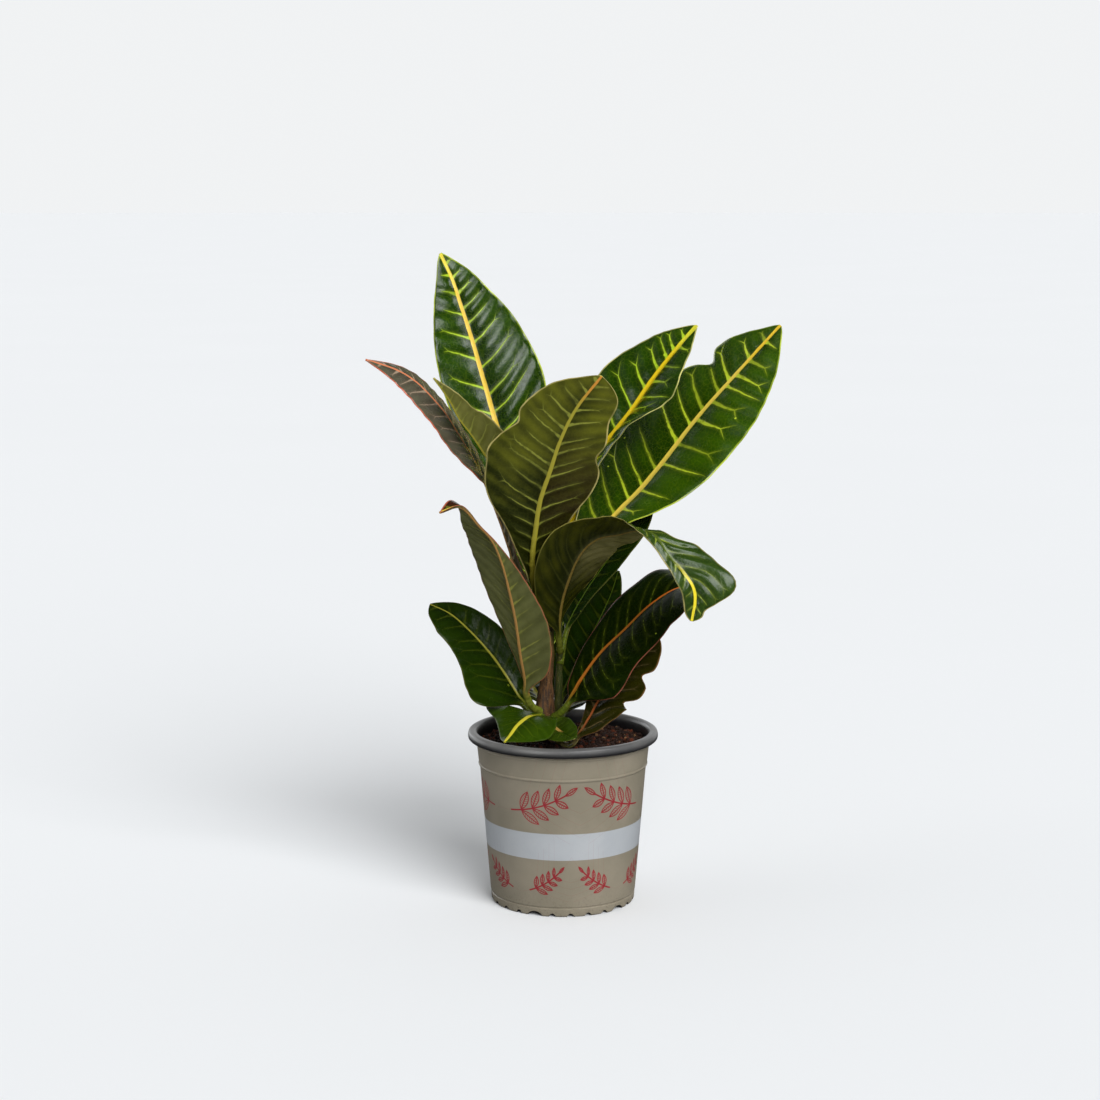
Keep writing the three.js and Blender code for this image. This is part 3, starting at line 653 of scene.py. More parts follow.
# %% Leaf builder
def leaf_rings(leaf, halves, frames, s, place):
    """One ring of points for each row: over the top from left to right, and back underneath."""
    (upper_left, lower_left, edge_left, _), (upper_right, lower_right, edge_right, _) = halves
    blade = np.concatenate([
        edge_left[:, None], upper_left[:, :0:-1], upper_right, edge_right[:, None],
        lower_right[:, :0:-1], lower_left], axis=1)
    # The stalk is round, a little swollen at the stem, and flattens into the blade over its first tenth.
    count = blade.shape[1]
    turn = np.pi - np.arange(count) * 2 * np.pi / count
    swollen = leaf["thick"] * (1 + 0.45 * np.exp(-place / 7))[:, None, None]
    midrib, right, above = (f[:, None, :] for f in frames)
    stalk = midrib + swollen * (np.cos(turn)[:, None] * right + np.sin(turn)[:, None] * above)
    flat = np.where(place < leaf["stalk"], 0, smooth(s / 0.1))[:, None, None]
    return stalk * (1 - flat) + blade * flat


def ring_strips():
    """Where each strip round a ring takes its notes from: half, two columns, and 1 on the underside."""
    outward = [(k, k + 1) for k in range(COLUMNS)]
    inward = [(k + 1, k) for k in reversed(range(COLUMNS))]
    edge = [(COLUMNS, COLUMNS)]
    parts = ((0, edge + inward, 0), (1, outward + edge, 0), (1, edge + inward, 1), (0, outward + edge, 1))
    return [(half, first, second, under) for half, columns, under in parts for first, second in columns]


def leaf_piece(name, leaf):
    """The whole leaf: strips from ring to ring, and a fan over the ring at each end."""
    path, arc = curve_through(leaf["path"])
    start, length = leaf["stalk"], arc[-1] - leaf["stalk"]
    even = np.linspace(0, 1, int(length / ROW) + 8)
    blade_s = 0.5 * even + 0.25 * (1 - np.cos(np.pi * even))
    stalk_place = np.linspace(0, start, max(5, int(start / 2.5)), endpoint=False)
    s = np.concatenate([np.zeros(len(stalk_place)), blade_s])
    place = np.concatenate([stalk_place, start + blade_s * length])
    frames = leaf_frames(leaf, path, arc, place, s)
    halves = [leaf_half(leaf, side, s, place, start, length, frames) for side in (-1, 1)]
    rings = leaf_rings(leaf, halves, frames, s, place)

    rows, count, _ = rings.shape
    points = rings.reshape(-1, 3)
    faces, under, corners = [], [], {key: [] for key in halves[0][3]}
    here = np.arange(rows - 1) * count
    for m, (half, first, second, is_under) in enumerate(ring_strips()):
        after = (m + 1) % count
        faces += np.stack([here + m, here + after, here + count + after, here + count + m], axis=1).tolist()
        for key, notes in halves[half][3].items():
            quads = [notes[:-1, first], notes[:-1, second], notes[1:, second], notes[1:, first]]
            corners[key].append(np.stack(quads, axis=1).reshape(-1, 2))
        under += [is_under] * (rows - 1)
    last = (rows - 1) * count
    for loop, row in ((list(range(count))[::-1], 0), (list(range(last, last + count)), rows - 1)):
        faces += [[len(points), loop[m], loop[(m + 1) % count]] for m in range(count)]
        points = np.vstack([points, points[loop].mean(axis=0)])
        for key, notes in halves[0][3].items():
            corners[key].append(np.tile(notes[row, 0], (3 * count, 1)))
        under += [0] * count
    maps = {key: np.concatenate(value) for key, value in corners.items()}
    piece = mesh_piece(name, points + POT_AXIS, faces, uv_maps=maps)
    piece.data.materials.append(None)
    piece.data.materials.append(None)
    piece.data.polygons.foreach_set("material_index", under)
    return piece


# %% [markdown]
# ## The colouring of a leaf
# Croton leaves are dark green with a thick yellow or orange midrib, and thin yellow-green side veins that
# fork before they reach the margin. Each vein differs a little. A painted texture would need unwrapping and
# would blur close up, so one node group draws it all from the notes in the UV maps. Each leaf has a material
# for its upper side and one for its underside, and both use the group with colours of their own.

# %% Leaf face group
PALETTE = ("Deep", "Light", "Lateral", "Midrib", "Midrib Tip", "Margin", "Flush", "Stalk")
group_inputs = [(colour, "Color") for colour in PALETTE]
AMOUNTS = {
    "Flush Place": 0.5, "Flush Reach": 0.2, "Flush Side": 1.0, "Flush Amount": 0.0, "Vein Width": 1.4,
    "Vein Amount": 1.0, "Vein Reach": 1.0, "Vein Gaps": 0.5, "Rib Width": 1.0, "Rib End": 1.3, "Spots": 0.0,
    "Margin Width": 0.7, "Dark Foot": 0.0, "Quilt": 0.35, "Tip Place": 0.84, "Seed": 0.0}
group_inputs += [(amount, "Float", usual) for amount, usual in AMOUNTS.items()]
g, given, result = shader_group("leaf_face", group_inputs,
                                [("Color", "Color"), ("Height", "Float"), ("Dust", "Float")])
vein_at, vein_gap = g.uv("veins")
forward, across = g.uv("place")
leaf_s, from_margin = g.uv("leaf")
aside = abs(across)
half = aside + from_margin
outward = aside / g.math("MAXIMUM", half, 0.5)
leaf_place = g.join(forward, across, given["Seed"])

# Distance to the nearest side vein, with a slight waver, and three chances for each vein.
WAVER = 1.8
waver = (g.noise(leaf_place, 0.11) - 0.5) * WAVER
nearest = g.math("ROUND", vein_at)
beside = (vein_at - nearest) * vein_gap + waver
vein_name = g.join(nearest, given["Seed"])
lots = g.split(g.get("ShaderNodeTexWhiteNoise", "Color", {"Vector": vein_name}, noise_dimensions="3D"))
# The vein runs single to its fork and then in two arms that thin out towards the margin.
LONE_VEINS = 0.35  # share of the veins that don't fork
ARM_SPREAD = 0.62
fork_at = lots[0] * 0.26 + 0.5
past_fork = g.math("MAXIMUM", outward - fork_at, 0.0) * half
spread = (lots[1] > LONE_VEINS) * ARM_SPREAD
arms = abs(abs(beside) - past_fork * spread)
thinning = g.ramp(outward, 0.1, fork_at + 0.12, 1.0, 0.34)
foot = g.ramp(aside - 1.6, 0.0, 2.6, 0.8, 0.0) * given["Vein Width"]
width = given["Vein Width"] * thinning * (lots[1] * 0.6 + 0.7) + foot
line = g.fall(arms, width * 0.36, width * 0.62 + 0.12)
fade = g.fall(outward / given["Vein Reach"], fork_at - 0.06, fork_at + 0.26)
strong = g.ramp(lots[2], 0.12, 0.5) * 0.5 + 0.5
gaps_from = given["Vein Gaps"] * 0.2 + 0.24
broken = g.ramp(g.noise(leaf_place, 0.22, 3.0), gaps_from, gaps_from + 0.14, 1.0 - given["Vein Gaps"], 1.0)
line = line * fade * (strong * broken) * given["Vein Amount"]

# A fine net of smaller veins fills the cells.
net_values = {"Vector": leaf_place, "Scale": 0.34, "Randomness": 0.9}
net = g.get("ShaderNodeTexVoronoi", "Distance", net_values, feature="DISTANCE_TO_EDGE")
net_line = g.fall(net, 0.01, 0.09)

# The midrib narrows towards the tip and may end before it, and the margin is a thin line.
rib_half = (leaf_s * -1.15 + 2.05) * given["Rib Width"]
rib_waver = g.noise(leaf_place, 0.2) * 0.5 - 0.25
rib = g.fall(aside + rib_waver, rib_half - 0.28, rib_half + 0.16)
rib_end = g.noise(leaf_place, 0.3, 2.0) * 0.3 - 0.15 + given["Rib End"]
rib = rib * g.fall(leaf_s, rib_end - 0.15, rib_end)
margin_width = given["Margin Width"] * (g.noise(leaf_place, 0.16, 3.0) * 1.1 + 0.35)
margin = g.fall(from_margin, margin_width * 0.5, margin_width + 0.35)
margin = margin * g.ramp(g.noise(leaf_place, 0.05, 2.0), 0.38, 0.58, 0.4, 1.0)

# The blade is lighter in the middle of each cell and darker beside the midrib, and clouded all over.
cell = abs(vein_at - nearest) * 2.0
cloud = g.noise(leaf_place, 0.045, 4.0, 0.6)
grain = g.noise(leaf_place, 0.9, 3.0)
lightness = g.ramp(cell, 0.1, 0.9, 0.0, 0.3) + g.ramp(cloud, 0.32, 0.68, 0.1, 0.5)
lightness = lightness + (grain * 0.08 - 0.04) + g.ramp(outward, 0.0, 0.6, -0.2, 0.2)
# Painted shade: the blade is darkened towards the stalk, as much as the foot amount asks.
painted_foot_shade = g.fall(leaf_s, 0.25, 0.75) * given["Dark Foot"]
lightness = g.math("SUBTRACT", lightness, painted_foot_shade, clamp=True)
colour = g.blend(lightness, given["Deep"], given["Light"])
# A flush colour tints one side about a place along the leaf. On most leaves it is a real tinge; where it
# darkens broad_right's left half it is painted shade.
flush_side = g.ramp(across * given["Flush Side"], -3.0, 3.0)
flush_far = abs(leaf_s - given["Flush Place"]) / given["Flush Reach"]
flush_and_shade = flush_side * given["Flush Amount"] * g.fall(flush_far, 0.3, 1.2)
flush_and_shade = flush_and_shade * g.ramp(g.noise(leaf_place, 0.07, 3.0), 0.25, 0.6, 0.4, 1.0)
colour = g.blend(flush_and_shade, colour, given["Flush"])
colour = g.blend(net_line * (given["Vein Amount"] * 0.05), colour, given["Lateral"])
halo = g.ramp(arms, 0.0, 2.4, 0.16, 0.0) * (fade * given["Vein Amount"])
colour = g.blend(halo, colour, given["Lateral"])

# A few yellow spots lie between the veins.
dots = g.add("ShaderNodeTexVoronoi", {"Vector": leaf_place, "Scale": 0.055, "Randomness": 1.0})
dot_lots = g.split(dots.outputs["Color"])
dot_size = g.math("POWER", dot_lots[1], 3.0) * 0.085 + 0.02
dot = g.fall(dots.outputs["Distance"], dot_size, dot_size + 0.02) * g.ramp(dot_lots[0], 0.62, 0.66)
colour = g.blend(dot * given["Spots"], colour, given["Lateral"])
colour = g.blend(line, colour, given["Lateral"])
midrib_foot = g.ramp(forward, -2.0, 18.0, 0.8, 0.0)
tip_ward = g.ramp(leaf_s, given["Tip Place"], given["Tip Place"] + 0.12)
midrib_colour = g.blend(tip_ward, given["Midrib"], given["Midrib Tip"])
midrib_colour = g.blend(midrib_foot, midrib_colour, given["Stalk"])
midrib_colour = g.blend(grain * 0.25, midrib_colour, given["Lateral"])
colour = g.blend(rib, colour, midrib_colour)
colour = g.blend(margin, colour, given["Margin"])
streaks = g.ramp(g.noise(leaf_place, 0.5, 3.0), 0.35, 0.65, 0.0, 0.25)
stalk = g.blend(streaks, given["Stalk"], given["Lateral"])
colour = g.blend(g.fall(forward, -2.0, 7.0), colour, stalk)
g.put(result["Color"], colour)

# Height of the fine relief in millimetres, and where dust dulls the gloss.
quilt = g.ramp(outward, 0.05, 0.3) * given["Quilt"] * g.ramp(cell, 0.0, 1.0)
relief = quilt - line * 0.16 - net_line * 0.03
relief = relief + g.noise(leaf_place, 1.6, 4.0) * 0.014 + g.noise(leaf_place, 0.2, 2.0) * 0.22
g.put(result["Height"], relief)
g.put(result["Dust"], g.ramp(g.noise(leaf_place, 0.14, 5.0, 0.65), 0.35, 0.7))
print("leaf face group:", len(g.tree.nodes), "nodes")

# %% [markdown]
# ## Colours of the leaves
# The young leaves at the top are fresh green with yellow veins, the older ones low down are nearly black
# green with orange midribs, and the undersides are olive with a purple tinge. The four kinds below hold the
# common colours, as picked on screen from 0 to 255, and each leaf may change some of them.

# %% Leaf colours
KINDS = {
    "leaf_green": dict(
        upper=dict(Deep=(14, 34, 1), Light=(36, 64, 3), Lateral=(160, 188, 40),
                   Midrib=(232, 212, 74), Margin=(176, 190, 62), Stalk=(66, 78, 20), Spots=1.0),
        under=dict(Deep=(44, 52, 4), Light=(88, 94, 26), Lateral=(146, 150, 60),
                   Midrib=(172, 160, 48), Margin=(170, 166, 96), Stalk=(66, 78, 20))),
    "leaf_dark": dict(
        upper=dict(Deep=(6, 17, 1), Light=(17, 33, 1), Lateral=(128, 142, 34),
                   Midrib=(170, 160, 46), Margin=(70, 74, 30), Stalk=(60, 70, 18), Spots=0.5),
        under=dict(Deep=(34, 38, 8), Light=(70, 68, 26), Lateral=(126, 118, 62),
                   Midrib=(160, 134, 52), Margin=(150, 112, 76), Stalk=(60, 70, 18))),
    "leaf_bronze": dict(
        upper=dict(Deep=(50, 40, 18), Light=(96, 78, 48), Lateral=(150, 128, 86),
                   Midrib=(190, 106, 56), Margin=(176, 100, 74), Stalk=(84, 84, 30), Spots=0.4),
        under=dict(Deep=(62, 56, 26), Light=(104, 94, 62), Lateral=(156, 144, 112),
                   Midrib=(176, 128, 70), Margin=(184, 124, 94), Stalk=(84, 84, 30))),
    "leaf_olive": dict(
        upper=dict(Deep=(16, 34, 2), Light=(44, 64, 10), Lateral=(160, 176, 60),
                   Midrib=(216, 200, 60), Margin=(190, 190, 104), Stalk=(72, 78, 20), Spots=0.6),
        under=dict(Deep=(30, 35, 1), Light=(80, 82, 18), Lateral=(146, 148, 62),
                   Midrib=(150, 138, 36), Margin=(162, 150, 90), Stalk=(72, 78, 20))),
}
KIND_OF = dict(
    crown="leaf_green", far_left="leaf_bronze", folded="leaf_olive", front_tall="leaf_olive",
    upper_right="leaf_green", broad_right="leaf_green", arching="leaf_olive", behind_arch="leaf_dark",
    curled="leaf_olive", low_left="leaf_dark", over_rim="leaf_green", small_front="leaf_green",
    dark_right="leaf_dark", narrow_right="leaf_dark", wavy="leaf_bronze", back_high="leaf_green",
    back_left="leaf_dark", back_right="leaf_dark", back_rising="leaf_green")
PURPLE = (40, 28, 8)
LILAC = (128, 124, 108)
SALMON = (180, 92, 66)
OWN_COLOURS = {
    "crown": dict(
        upper={"Midrib": (230, 186, 60), "Midrib Tip": (236, 212, 76), "Stalk": (214, 168, 56),
               "Rib Width": 1.2, "Quilt": 0.3, "Vein Width": 0.95, "Vein Reach": 0.9, "Margin Width": 0.65}),
    "upper_right": dict(
        upper={"Midrib": (216, 180, 22), "Midrib Tip": (206, 198, 50), "Margin": (206, 200, 122),
               "Rib Width": 1.75, "Quilt": 0.12, "Margin Width": 0.9}),
    "broad_right": dict(
        upper={"Deep": (24, 50, 1), "Light": (52, 84, 3), "Lateral": (178, 196, 44),
               "Midrib": (222, 190, 76), "Midrib Tip": (232, 186, 44), "Tip Place": 0.78,
               # Its left half is darkened towards a deeper green as painted shade, through the flush inputs.
               "Rib Width": 1.3, "Vein Width": 1.45, "Margin Width": 1.0, "Flush": (12, 30, 1),
               "Flush Place": 0.35, "Flush Reach": 0.75, "Flush Side": -1.0, "Flush Amount": 0.55}),
    "front_tall": dict(
        # Its underside is darkened towards the stalk as painted shade.
        under={"Light": (88, 90, 12), "Midrib": (144, 134, 40), "Midrib Tip": (186, 120, 44),
               "Rib Width": 0.8, "Vein Amount": 0.75, "Vein Width": 1.0, "Vein Reach": 0.9,
               "Lateral": (130, 134, 50), "Stalk": (78, 84, 26), "Vein Gaps": 0.6, "Dark Foot": 0.8,
               "Flush": PURPLE, "Flush Place": 0.5, "Flush Reach": 0.28, "Flush Side": -1.0,
               "Flush Amount": 0.65}),
    "far_left": dict(
        upper={"Deep": (38, 42, 26), "Light": (80, 84, 64), "Lateral": (172, 150, 126),
               "Midrib": (204, 116, 74), "Margin": SALMON, "Rib Width": 0.75, "Vein Amount": 0.6,
               "Vein Width": 0.8, "Margin Width": 0.9, "Flush": (98, 82, 74), "Flush Place": 0.6,
               "Flush Reach": 0.5, "Flush Side": 0.0, "Flush Amount": 0.7},
        under={"Flush": LILAC, "Flush Place": 0.1, "Flush Reach": 0.5, "Flush Amount": 0.9}),
    "curled": dict(
        under={"Deep": (54, 56, 22), "Light": (90, 92, 50), "Midrib": (150, 104, 56),
               "Midrib Tip": (160, 70, 50), "Margin": (132, 80, 54), "Rib Width": 0.42,
               "Margin Width": 0.5, "Vein Amount": 0.32, "Vein Width": 0.8, "Vein Reach": 0.8},
        upper={"Margin": SALMON, "Margin Width": 1.2, "Vein Amount": 0.2, "Flush": (52, 18, 12),
               "Flush Place": 1.0, "Flush Reach": 0.3, "Flush Amount": 1.0}),
    "folded": dict(
        under={"Deep": (80, 82, 24), "Light": (120, 120, 54), "Rib Width": 0.8, "Vein Amount": 0.5,
               "Vein Width": 0.7, "Vein Gaps": 0.2}),
    "arching": dict(
        # Its underside is darkened a little towards the stalk as painted shade.
        under={"Deep": (24, 28, 1), "Light": (64, 64, 4), "Midrib": (84, 60, 24),
               "Midrib Tip": (220, 200, 90), "Margin": (112, 106, 44), "Rib Width": 0.4, "Quilt": 0.15,
               "Vein Amount": 0.04, "Margin Width": 0.4, "Dark Foot": 0.4, "Flush": (104, 98, 58),
               "Flush Place": 0.5, "Flush Reach": 0.3, "Flush Side": -1.0, "Flush Amount": 0.7},
        upper={"Deep": (14, 34, 4), "Light": (44, 66, 18), "Midrib": (46, 66, 18),
               "Midrib Tip": (222, 200, 40), "Margin": (150, 140, 84), "Tip Place": 0.76,
               "Rib Width": 1.0, "Margin Width": 0.6, "Vein Amount": 0.5, "Vein Width": 0.8,
               "Vein Gaps": 0.8}),
    "behind_arch": dict(
        upper={"Light": (20, 40, 2), "Midrib": (44, 66, 14), "Rib Width": 0.4, "Quilt": 0.1,
               "Vein Amount": 0.08}),
    "low_left": dict(
        upper={"Deep": (12, 27, 1), "Light": (26, 44, 2), "Midrib": (144, 136, 50), "Rib Width": 0.6,
               "Quilt": 0.1, "Vein Amount": 0.1}),
    "narrow_right": dict(
        upper={"Light": (24, 42, 4), "Midrib": (50, 72, 16), "Rib Width": 0.4, "Quilt": 0.1,
               "Vein Amount": 0.08, "Spots": 0.8}),
    "dark_right": dict(
        upper={"Deep": (7, 14, 0), "Light": (14, 27, 2), "Lateral": (132, 150, 40),
               "Midrib": (150, 72, 26), "Midrib Tip": (188, 84, 28), "Margin": (120, 66, 52),
               "Tip Place": 0.6, "Rib Width": 0.8, "Quilt": 0.03, "Vein Amount": 0.32, "Vein Width": 0.5,
               "Vein Gaps": 1.0, "Spots": 1.0, "Margin Width": 0.4}),
    "wavy": dict(
        upper={"Deep": (16, 19, 1), "Light": (38, 38, 4), "Midrib": (140, 66, 26),
               "Margin": (104, 76, 40), "Stalk": (22, 30, 6), "Rib Width": 0.6, "Quilt": 0.1,
               "Vein Amount": 0.3, "Vein Gaps": 0.9}),
    "over_rim": dict(
        upper={"Deep": (26, 46, 1), "Light": (46, 68, 5), "Midrib": (200, 184, 52),
               "Margin": (52, 70, 12), "Quilt": 0.03, "Vein Amount": 0.05}),
    "small_front": dict(
        upper={"Deep": (26, 46, 2), "Light": (46, 64, 8), "Midrib": (222, 166, 96),
               "Margin": (52, 68, 12), "Rib Width": 0.8, "Rib End": 0.62, "Quilt": 0.03,
               "Vein Amount": 0.05}),
}

# %% Leaf materials
# Some leaves are duller than others, most of them old and dusty ones.
DULLED = dict(upper_right=0.55, over_rim=0.2, small_front=0.4, low_left=0.4, dark_right=0.1,
              narrow_right=0.35, behind_arch=0.35, wavy=0.4)
# Roughness, how much dust adds to it, strength of the gloss, sign of the relief, and width of the veins.
SIDES = {
    "upper": (0.19, 0.1, 0.5, 1.0, 1.2),
    "under": (0.4, 0.12, 0.18, -1.0, 1.0),
}
SEED_STEP = 13.7
UNDER_SEED = 5.0


def leaf_material(name, kind, side, number):
    """One side of a leaf: the colours of its kind, changed by the leaf's own."""
    roughness, dusty, gloss, relief, vein_width = SIDES[side]
    material, nodes = new_material(f"croton_{name}_{side}")
    values = {"Vein Width": vein_width, **KINDS[kind][side], **OWN_COLOURS.get(name, {}).get(side, {})}
    values = {"Midrib Tip": values["Midrib"], "Flush": values["Deep"], **values}
    for colour in PALETTE:
        values[colour] = srgb(*values[colour])
    values["Seed"] = number * SEED_STEP + (UNDER_SEED if side == "under" else 0.0)
    face = nodes.group(g, values)
    finish(nodes, face["Color"], face["Dust"] * dusty + roughness, (face["Height"] * relief, 1.0, 0.6),
           gloss * DULLED.get(name, 1.0))
    return material


# %% Make the leaves
leaf_triangles = 0
for number, (name, leaf) in enumerate(LEAVES.items()):
    piece = leaf_piece(name + "_leaf", {**USUAL, **leaf})
    for slot, side in enumerate(("upper", "under")):
        piece.data.materials[slot] = leaf_material(name, KIND_OF[name], side, number)
    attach(piece, "root")
    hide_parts("leaf_" + name)
    leaf_triangles += triangles(piece.data)
print("leaf triangles:", leaf_triangles)

# %% [markdown]
# ## Geometry Nodes
# The pot, the stems and the soil crumbs follow rules, so Geometry Nodes make them. A small helper starts such
# a tree with named inputs. Another runs a tree on a starting mesh and keeps the result as a plain mesh, so
# that no modifier is left on the finished piece.

# %% Geometry Nodes helpers
def shape_tree(name, inputs):
    """A Geometry Nodes tree whose further inputs are given as (name, kind, value)."""
    shape = ("Geometry", "Geometry")
    return new_tree("GeometryNodeTree", name, [shape, *inputs], [shape])


def run_tree(nodes, start, name, **values):
    """The mesh that a tree makes from a starting object, as a new plain piece."""
    modifier = start.modifiers.new("shape", "NODES")
    modifier.node_group = nodes.tree
    for item in nodes.tree.interface.items_tree:
        if item.in_out == "INPUT" and item.name in values:
            modifier[item.identifier] = values[item.name]
    ready = start.evaluated_get(bpy.context.evaluated_depsgraph_get())
    mesh = bpy.data.meshes.new_from_object(ready)
    start.modifiers.remove(modifier)
    bpy.data.objects.remove(start)
    mesh.name = name
    print(name, "has", triangles(mesh), "triangles")
    return placed(name, mesh)


# %% [markdown]
# ## The pot
# The pot is thin moulded plastic, round about its axis, with a collar, a rolled rim, scallops under its foot
# and drain holes in its floor. Its outline is turned by a tree: a grid of points is wrapped round the axis,
# each column takes the outline's points, and near a scallop the points under the foot are lifted. Cutting the
# scallops with a Boolean would work too, but it leaves long thin faces that shade badly.

# %% Pot outline
POT_OUTLINE = [
    (0, 3.2), (39.4, 3.2), (40.6, 0), (44.8, 0), (45.3, 0.8), (45.7, 5.1), (45.1, 5.7), (45.9, 6.4),
    (52.5, 87), (53.3, 87.5), (53.5, 88.3), (53.1, 89), (53.3, 90), (54.4, 100.6), (55.1, 101), (55.3, 101.9),
    (54.9, 102.6), (55.4, 103.3), (58.8, 103.6), (59.8, 104.6), (60, 106.6),
    (59.5, 108.6), (58, 109.5), (56, 109.5), (54.8, 108.8), (54.1, 107), (53.7, 102.2), (52.7, 91.2),
    (51.4, 87.9), (44.6, 6.2), (43.4, 4.6), (0, 4.6)]
# The print lies on the outer wall, which is past the foot's points and goes up to the rim.
FOOT_POINTS = 8
FOOT_REACH = 44.9
RIM_REACH = 54.5
RIM_FOOT = 102.9


def rounded(outline, reach):
    """An outline with its corners rounded. It starts to turn at most reach away from each corner."""
    p = [np.array(q, float) for q in outline]
    made = [p[0]]
    for before, corner, after in zip(p, p[1:], p[2:]):
        back, on = before - corner, after - corner
        start = corner + back * min(reach / np.linalg.norm(back), 0.45)
        end = corner + on * min(reach / np.linalg.norm(on), 0.45)
        for t in (0, 0.33, 0.67, 1):
            made.append((1 - t) ** 2 * start + 2 * t * (1 - t) * corner + t * t * end)
    return made + [p[-1]]


outline = rounded(POT_OUTLINE, 0.5)
outer = [k for k, (r, z) in enumerate(outline) if k > FOOT_POINTS and z < RIM_FOOT and r > FOOT_REACH]
outside_end = len(outline) / 2 + FOOT_POINTS
printed_rows = (outer[0], max(k for k in outer if k < outside_end and outline[k][0] > RIM_REACH))
outline_piece = mesh_piece("pot_outline", [(r, 0, z) for r, z in outline], links=chain(outline))
print("outline points:", len(outline), "printed rows:", printed_rows)

# %% Pot tree
t, given, made = shape_tree("turned_pot", [
    ("Sides", "Int", 500), ("Scallops", "Int", 25), ("First Scallop", "Float", 0.0),
    ("Narrow Width", "Float", 0.0019), ("Narrow Height", "Float", 0.0023),
    ("Wide Width", "Float", 0.0046), ("Wide Height", "Float", 0.003), ("Foot Radius", "Float", 0.043),
    ("Printed From", "Int", 0), ("Printed To", "Int", 0), ("Axis", "Vector"), ("Hole Radius", "Float", 0.004),
    ("Hole Ring", "Float", 0.029), ("Print", "Material"), ("Plastic", "Material")])
count = t.get("GeometryNodeAttributeDomainSize", "Point Count", {"Geometry": given["Geometry"]})
grid = t.get("GeometryNodeMeshGrid", "Mesh", {
    "Size X": 1, "Size Y": 1, "Vertices X": given["Sides"] + 1, "Vertices Y": count})
index = t.get("GeometryNodeInputIndex")
row = t.math("MODULO", index, count)
turn = t.math("FLOOR", (index + 0.5) / count) / given["Sides"]
angle = turn * (2 * math.pi)
outline_point = t.get("GeometryNodeSampleIndex", "Value", {
    "Geometry": given["Geometry"], "Value": t.get("GeometryNodeInputPosition"), "Index": row},
    data_type="FLOAT_VECTOR")
radius, _, height = t.split(outline_point)
# The scallops of the foot, every fifth of them a wide one.
WIDE_EVERY = 5.0
pitch = 2 * math.pi / given["Scallops"]
number = (angle - given["First Scallop"]) / pitch
near = t.math("ROUND", number)
beside = (number - near) * pitch * given["Foot Radius"]
is_wide = t.math("COMPARE", near % WIDE_EVERY, 0.0, 0.1)
half_wide = is_wide * (given["Wide Width"] - given["Narrow Width"]) + given["Narrow Width"]
high = is_wide * (given["Wide Height"] - given["Narrow Height"]) + given["Narrow Height"]
out = beside / half_wide
lift = t.math("SQRT", t.math("MAXIMUM", 1.0 - out * out, 0.0)) * high
place = t.join(radius * t.math("COSINE", angle), radius * t.math("SINE", angle),
               t.math("MAXIMUM", height, lift))
# The map "wall" carries the turn round the axis and the height in millimetres.
wall_note = t.get("GeometryNodeFieldOnDomain", 0, {"Value": t.join(turn, height * 1000.0)},
                  data_type="FLOAT_VECTOR", domain="POINT")
noted = t.get("GeometryNodeStoreNamedAttribute", 0, {0: grid, "Name": "wall", "Value": wall_note},
              data_type="FLOAT2", domain="CORNER")
row = t.get("GeometryNodeFieldOnDomain", 0, {0: row}, data_type="FLOAT", domain="POINT")
is_printed = (row > given["Printed From"]) * (row < given["Printed To"])
plastic = t.step("SetMaterial", noted, Material=given["Plastic"])
printed = t.step("SetMaterial", plastic, Material=given["Print"], Selection=is_printed)
turned = t.step("SetPosition", printed, Position=place)
closed = t.step("MergeByDistance", turned, Distance=1e-6)
# Six drain holes on a ring and one in the middle.
cutter = t.get("GeometryNodeMeshCylinder", "Mesh", {
    "Vertices": 32, "Radius": given["Hole Radius"], "Depth": 0.012})
ring = t.get("GeometryNodeMeshCircle", 0, {"Vertices": 6, "Radius": given["Hole Ring"]})
ring = t.step("Transform", ring, Rotation=(0, 0, math.radians(30)))
cutters = t.add("GeometryNodeJoinGeometry")
t.put(cutters.inputs[0], t.step("InstanceOnPoints", ring, Instance=cutter))
t.put(cutters.inputs[0], cutter)
cutters = t.step("SetMaterial", t.step("RealizeInstances", cutters), Material=given["Plastic"])
drained = t.get("GeometryNodeMeshBoolean", "Mesh", {"Mesh 1": closed, "Mesh 2": cutters},
                operation="DIFFERENCE")
moved = t.step("Transform", drained, Translation=given["Axis"])
t.put(made[0], t.step("RealizeInstances", moved))
print("pot tree:", len(t.tree.nodes), "nodes")

# %% [markdown]
# ## The print on the pot
# The outside of the pot is printed: taupe, with a pale grey-blue band and red sprigs above and below it. The
# print follows the wall, so it is drawn in the material from the wall's own map: the turn round the axis and
# the height. A group draws one row of sprigs, each a bent twig with pairs of pointed leaflets in outline,
# with a vein and fine hatching. Every second sprig is mirrored, so that the row doesn't look stamped.

# %% Sprig group
PRINT_ROUND = 2 * math.pi * 49.5
LEAFLET_LEAN = math.radians(52)
LEAFLET_FAT = 0.78
HATCH_STEP = 1.5
p, given, result = shader_group("sprig_print", [
    ("Turn", "Float", 0.0), ("Height", "Float", 0.0), ("Count", "Float", 8.0), ("Row Height", "Float", 72.0),
    ("Length", "Float", 30.0), ("Tilt", "Float", 0.9), ("Shift", "Float", 0.0)], [("Mask", "Float")])
cells = given["Turn"] * given["Count"] + given["Shift"]
cell = p.math("FLOOR", cells)
mirror = cell % 2.0 * -2.0 + 1.0
x = (cells - cell - 0.5) * (PRINT_ROUND / given["Count"]) * mirror
y = given["Height"] - given["Row Height"]
cos_tilt, sin_tilt = p.math("COSINE", given["Tilt"]), p.math("SINE", given["Tilt"])
twig = x * cos_tilt + y * sin_tilt
off = y * cos_tilt - x * sin_tilt
off = abs(off - twig * twig / (given["Length"] * 4.0))
from_foot = twig + given["Length"] * 0.5
pitch = given["Length"] / 5.0


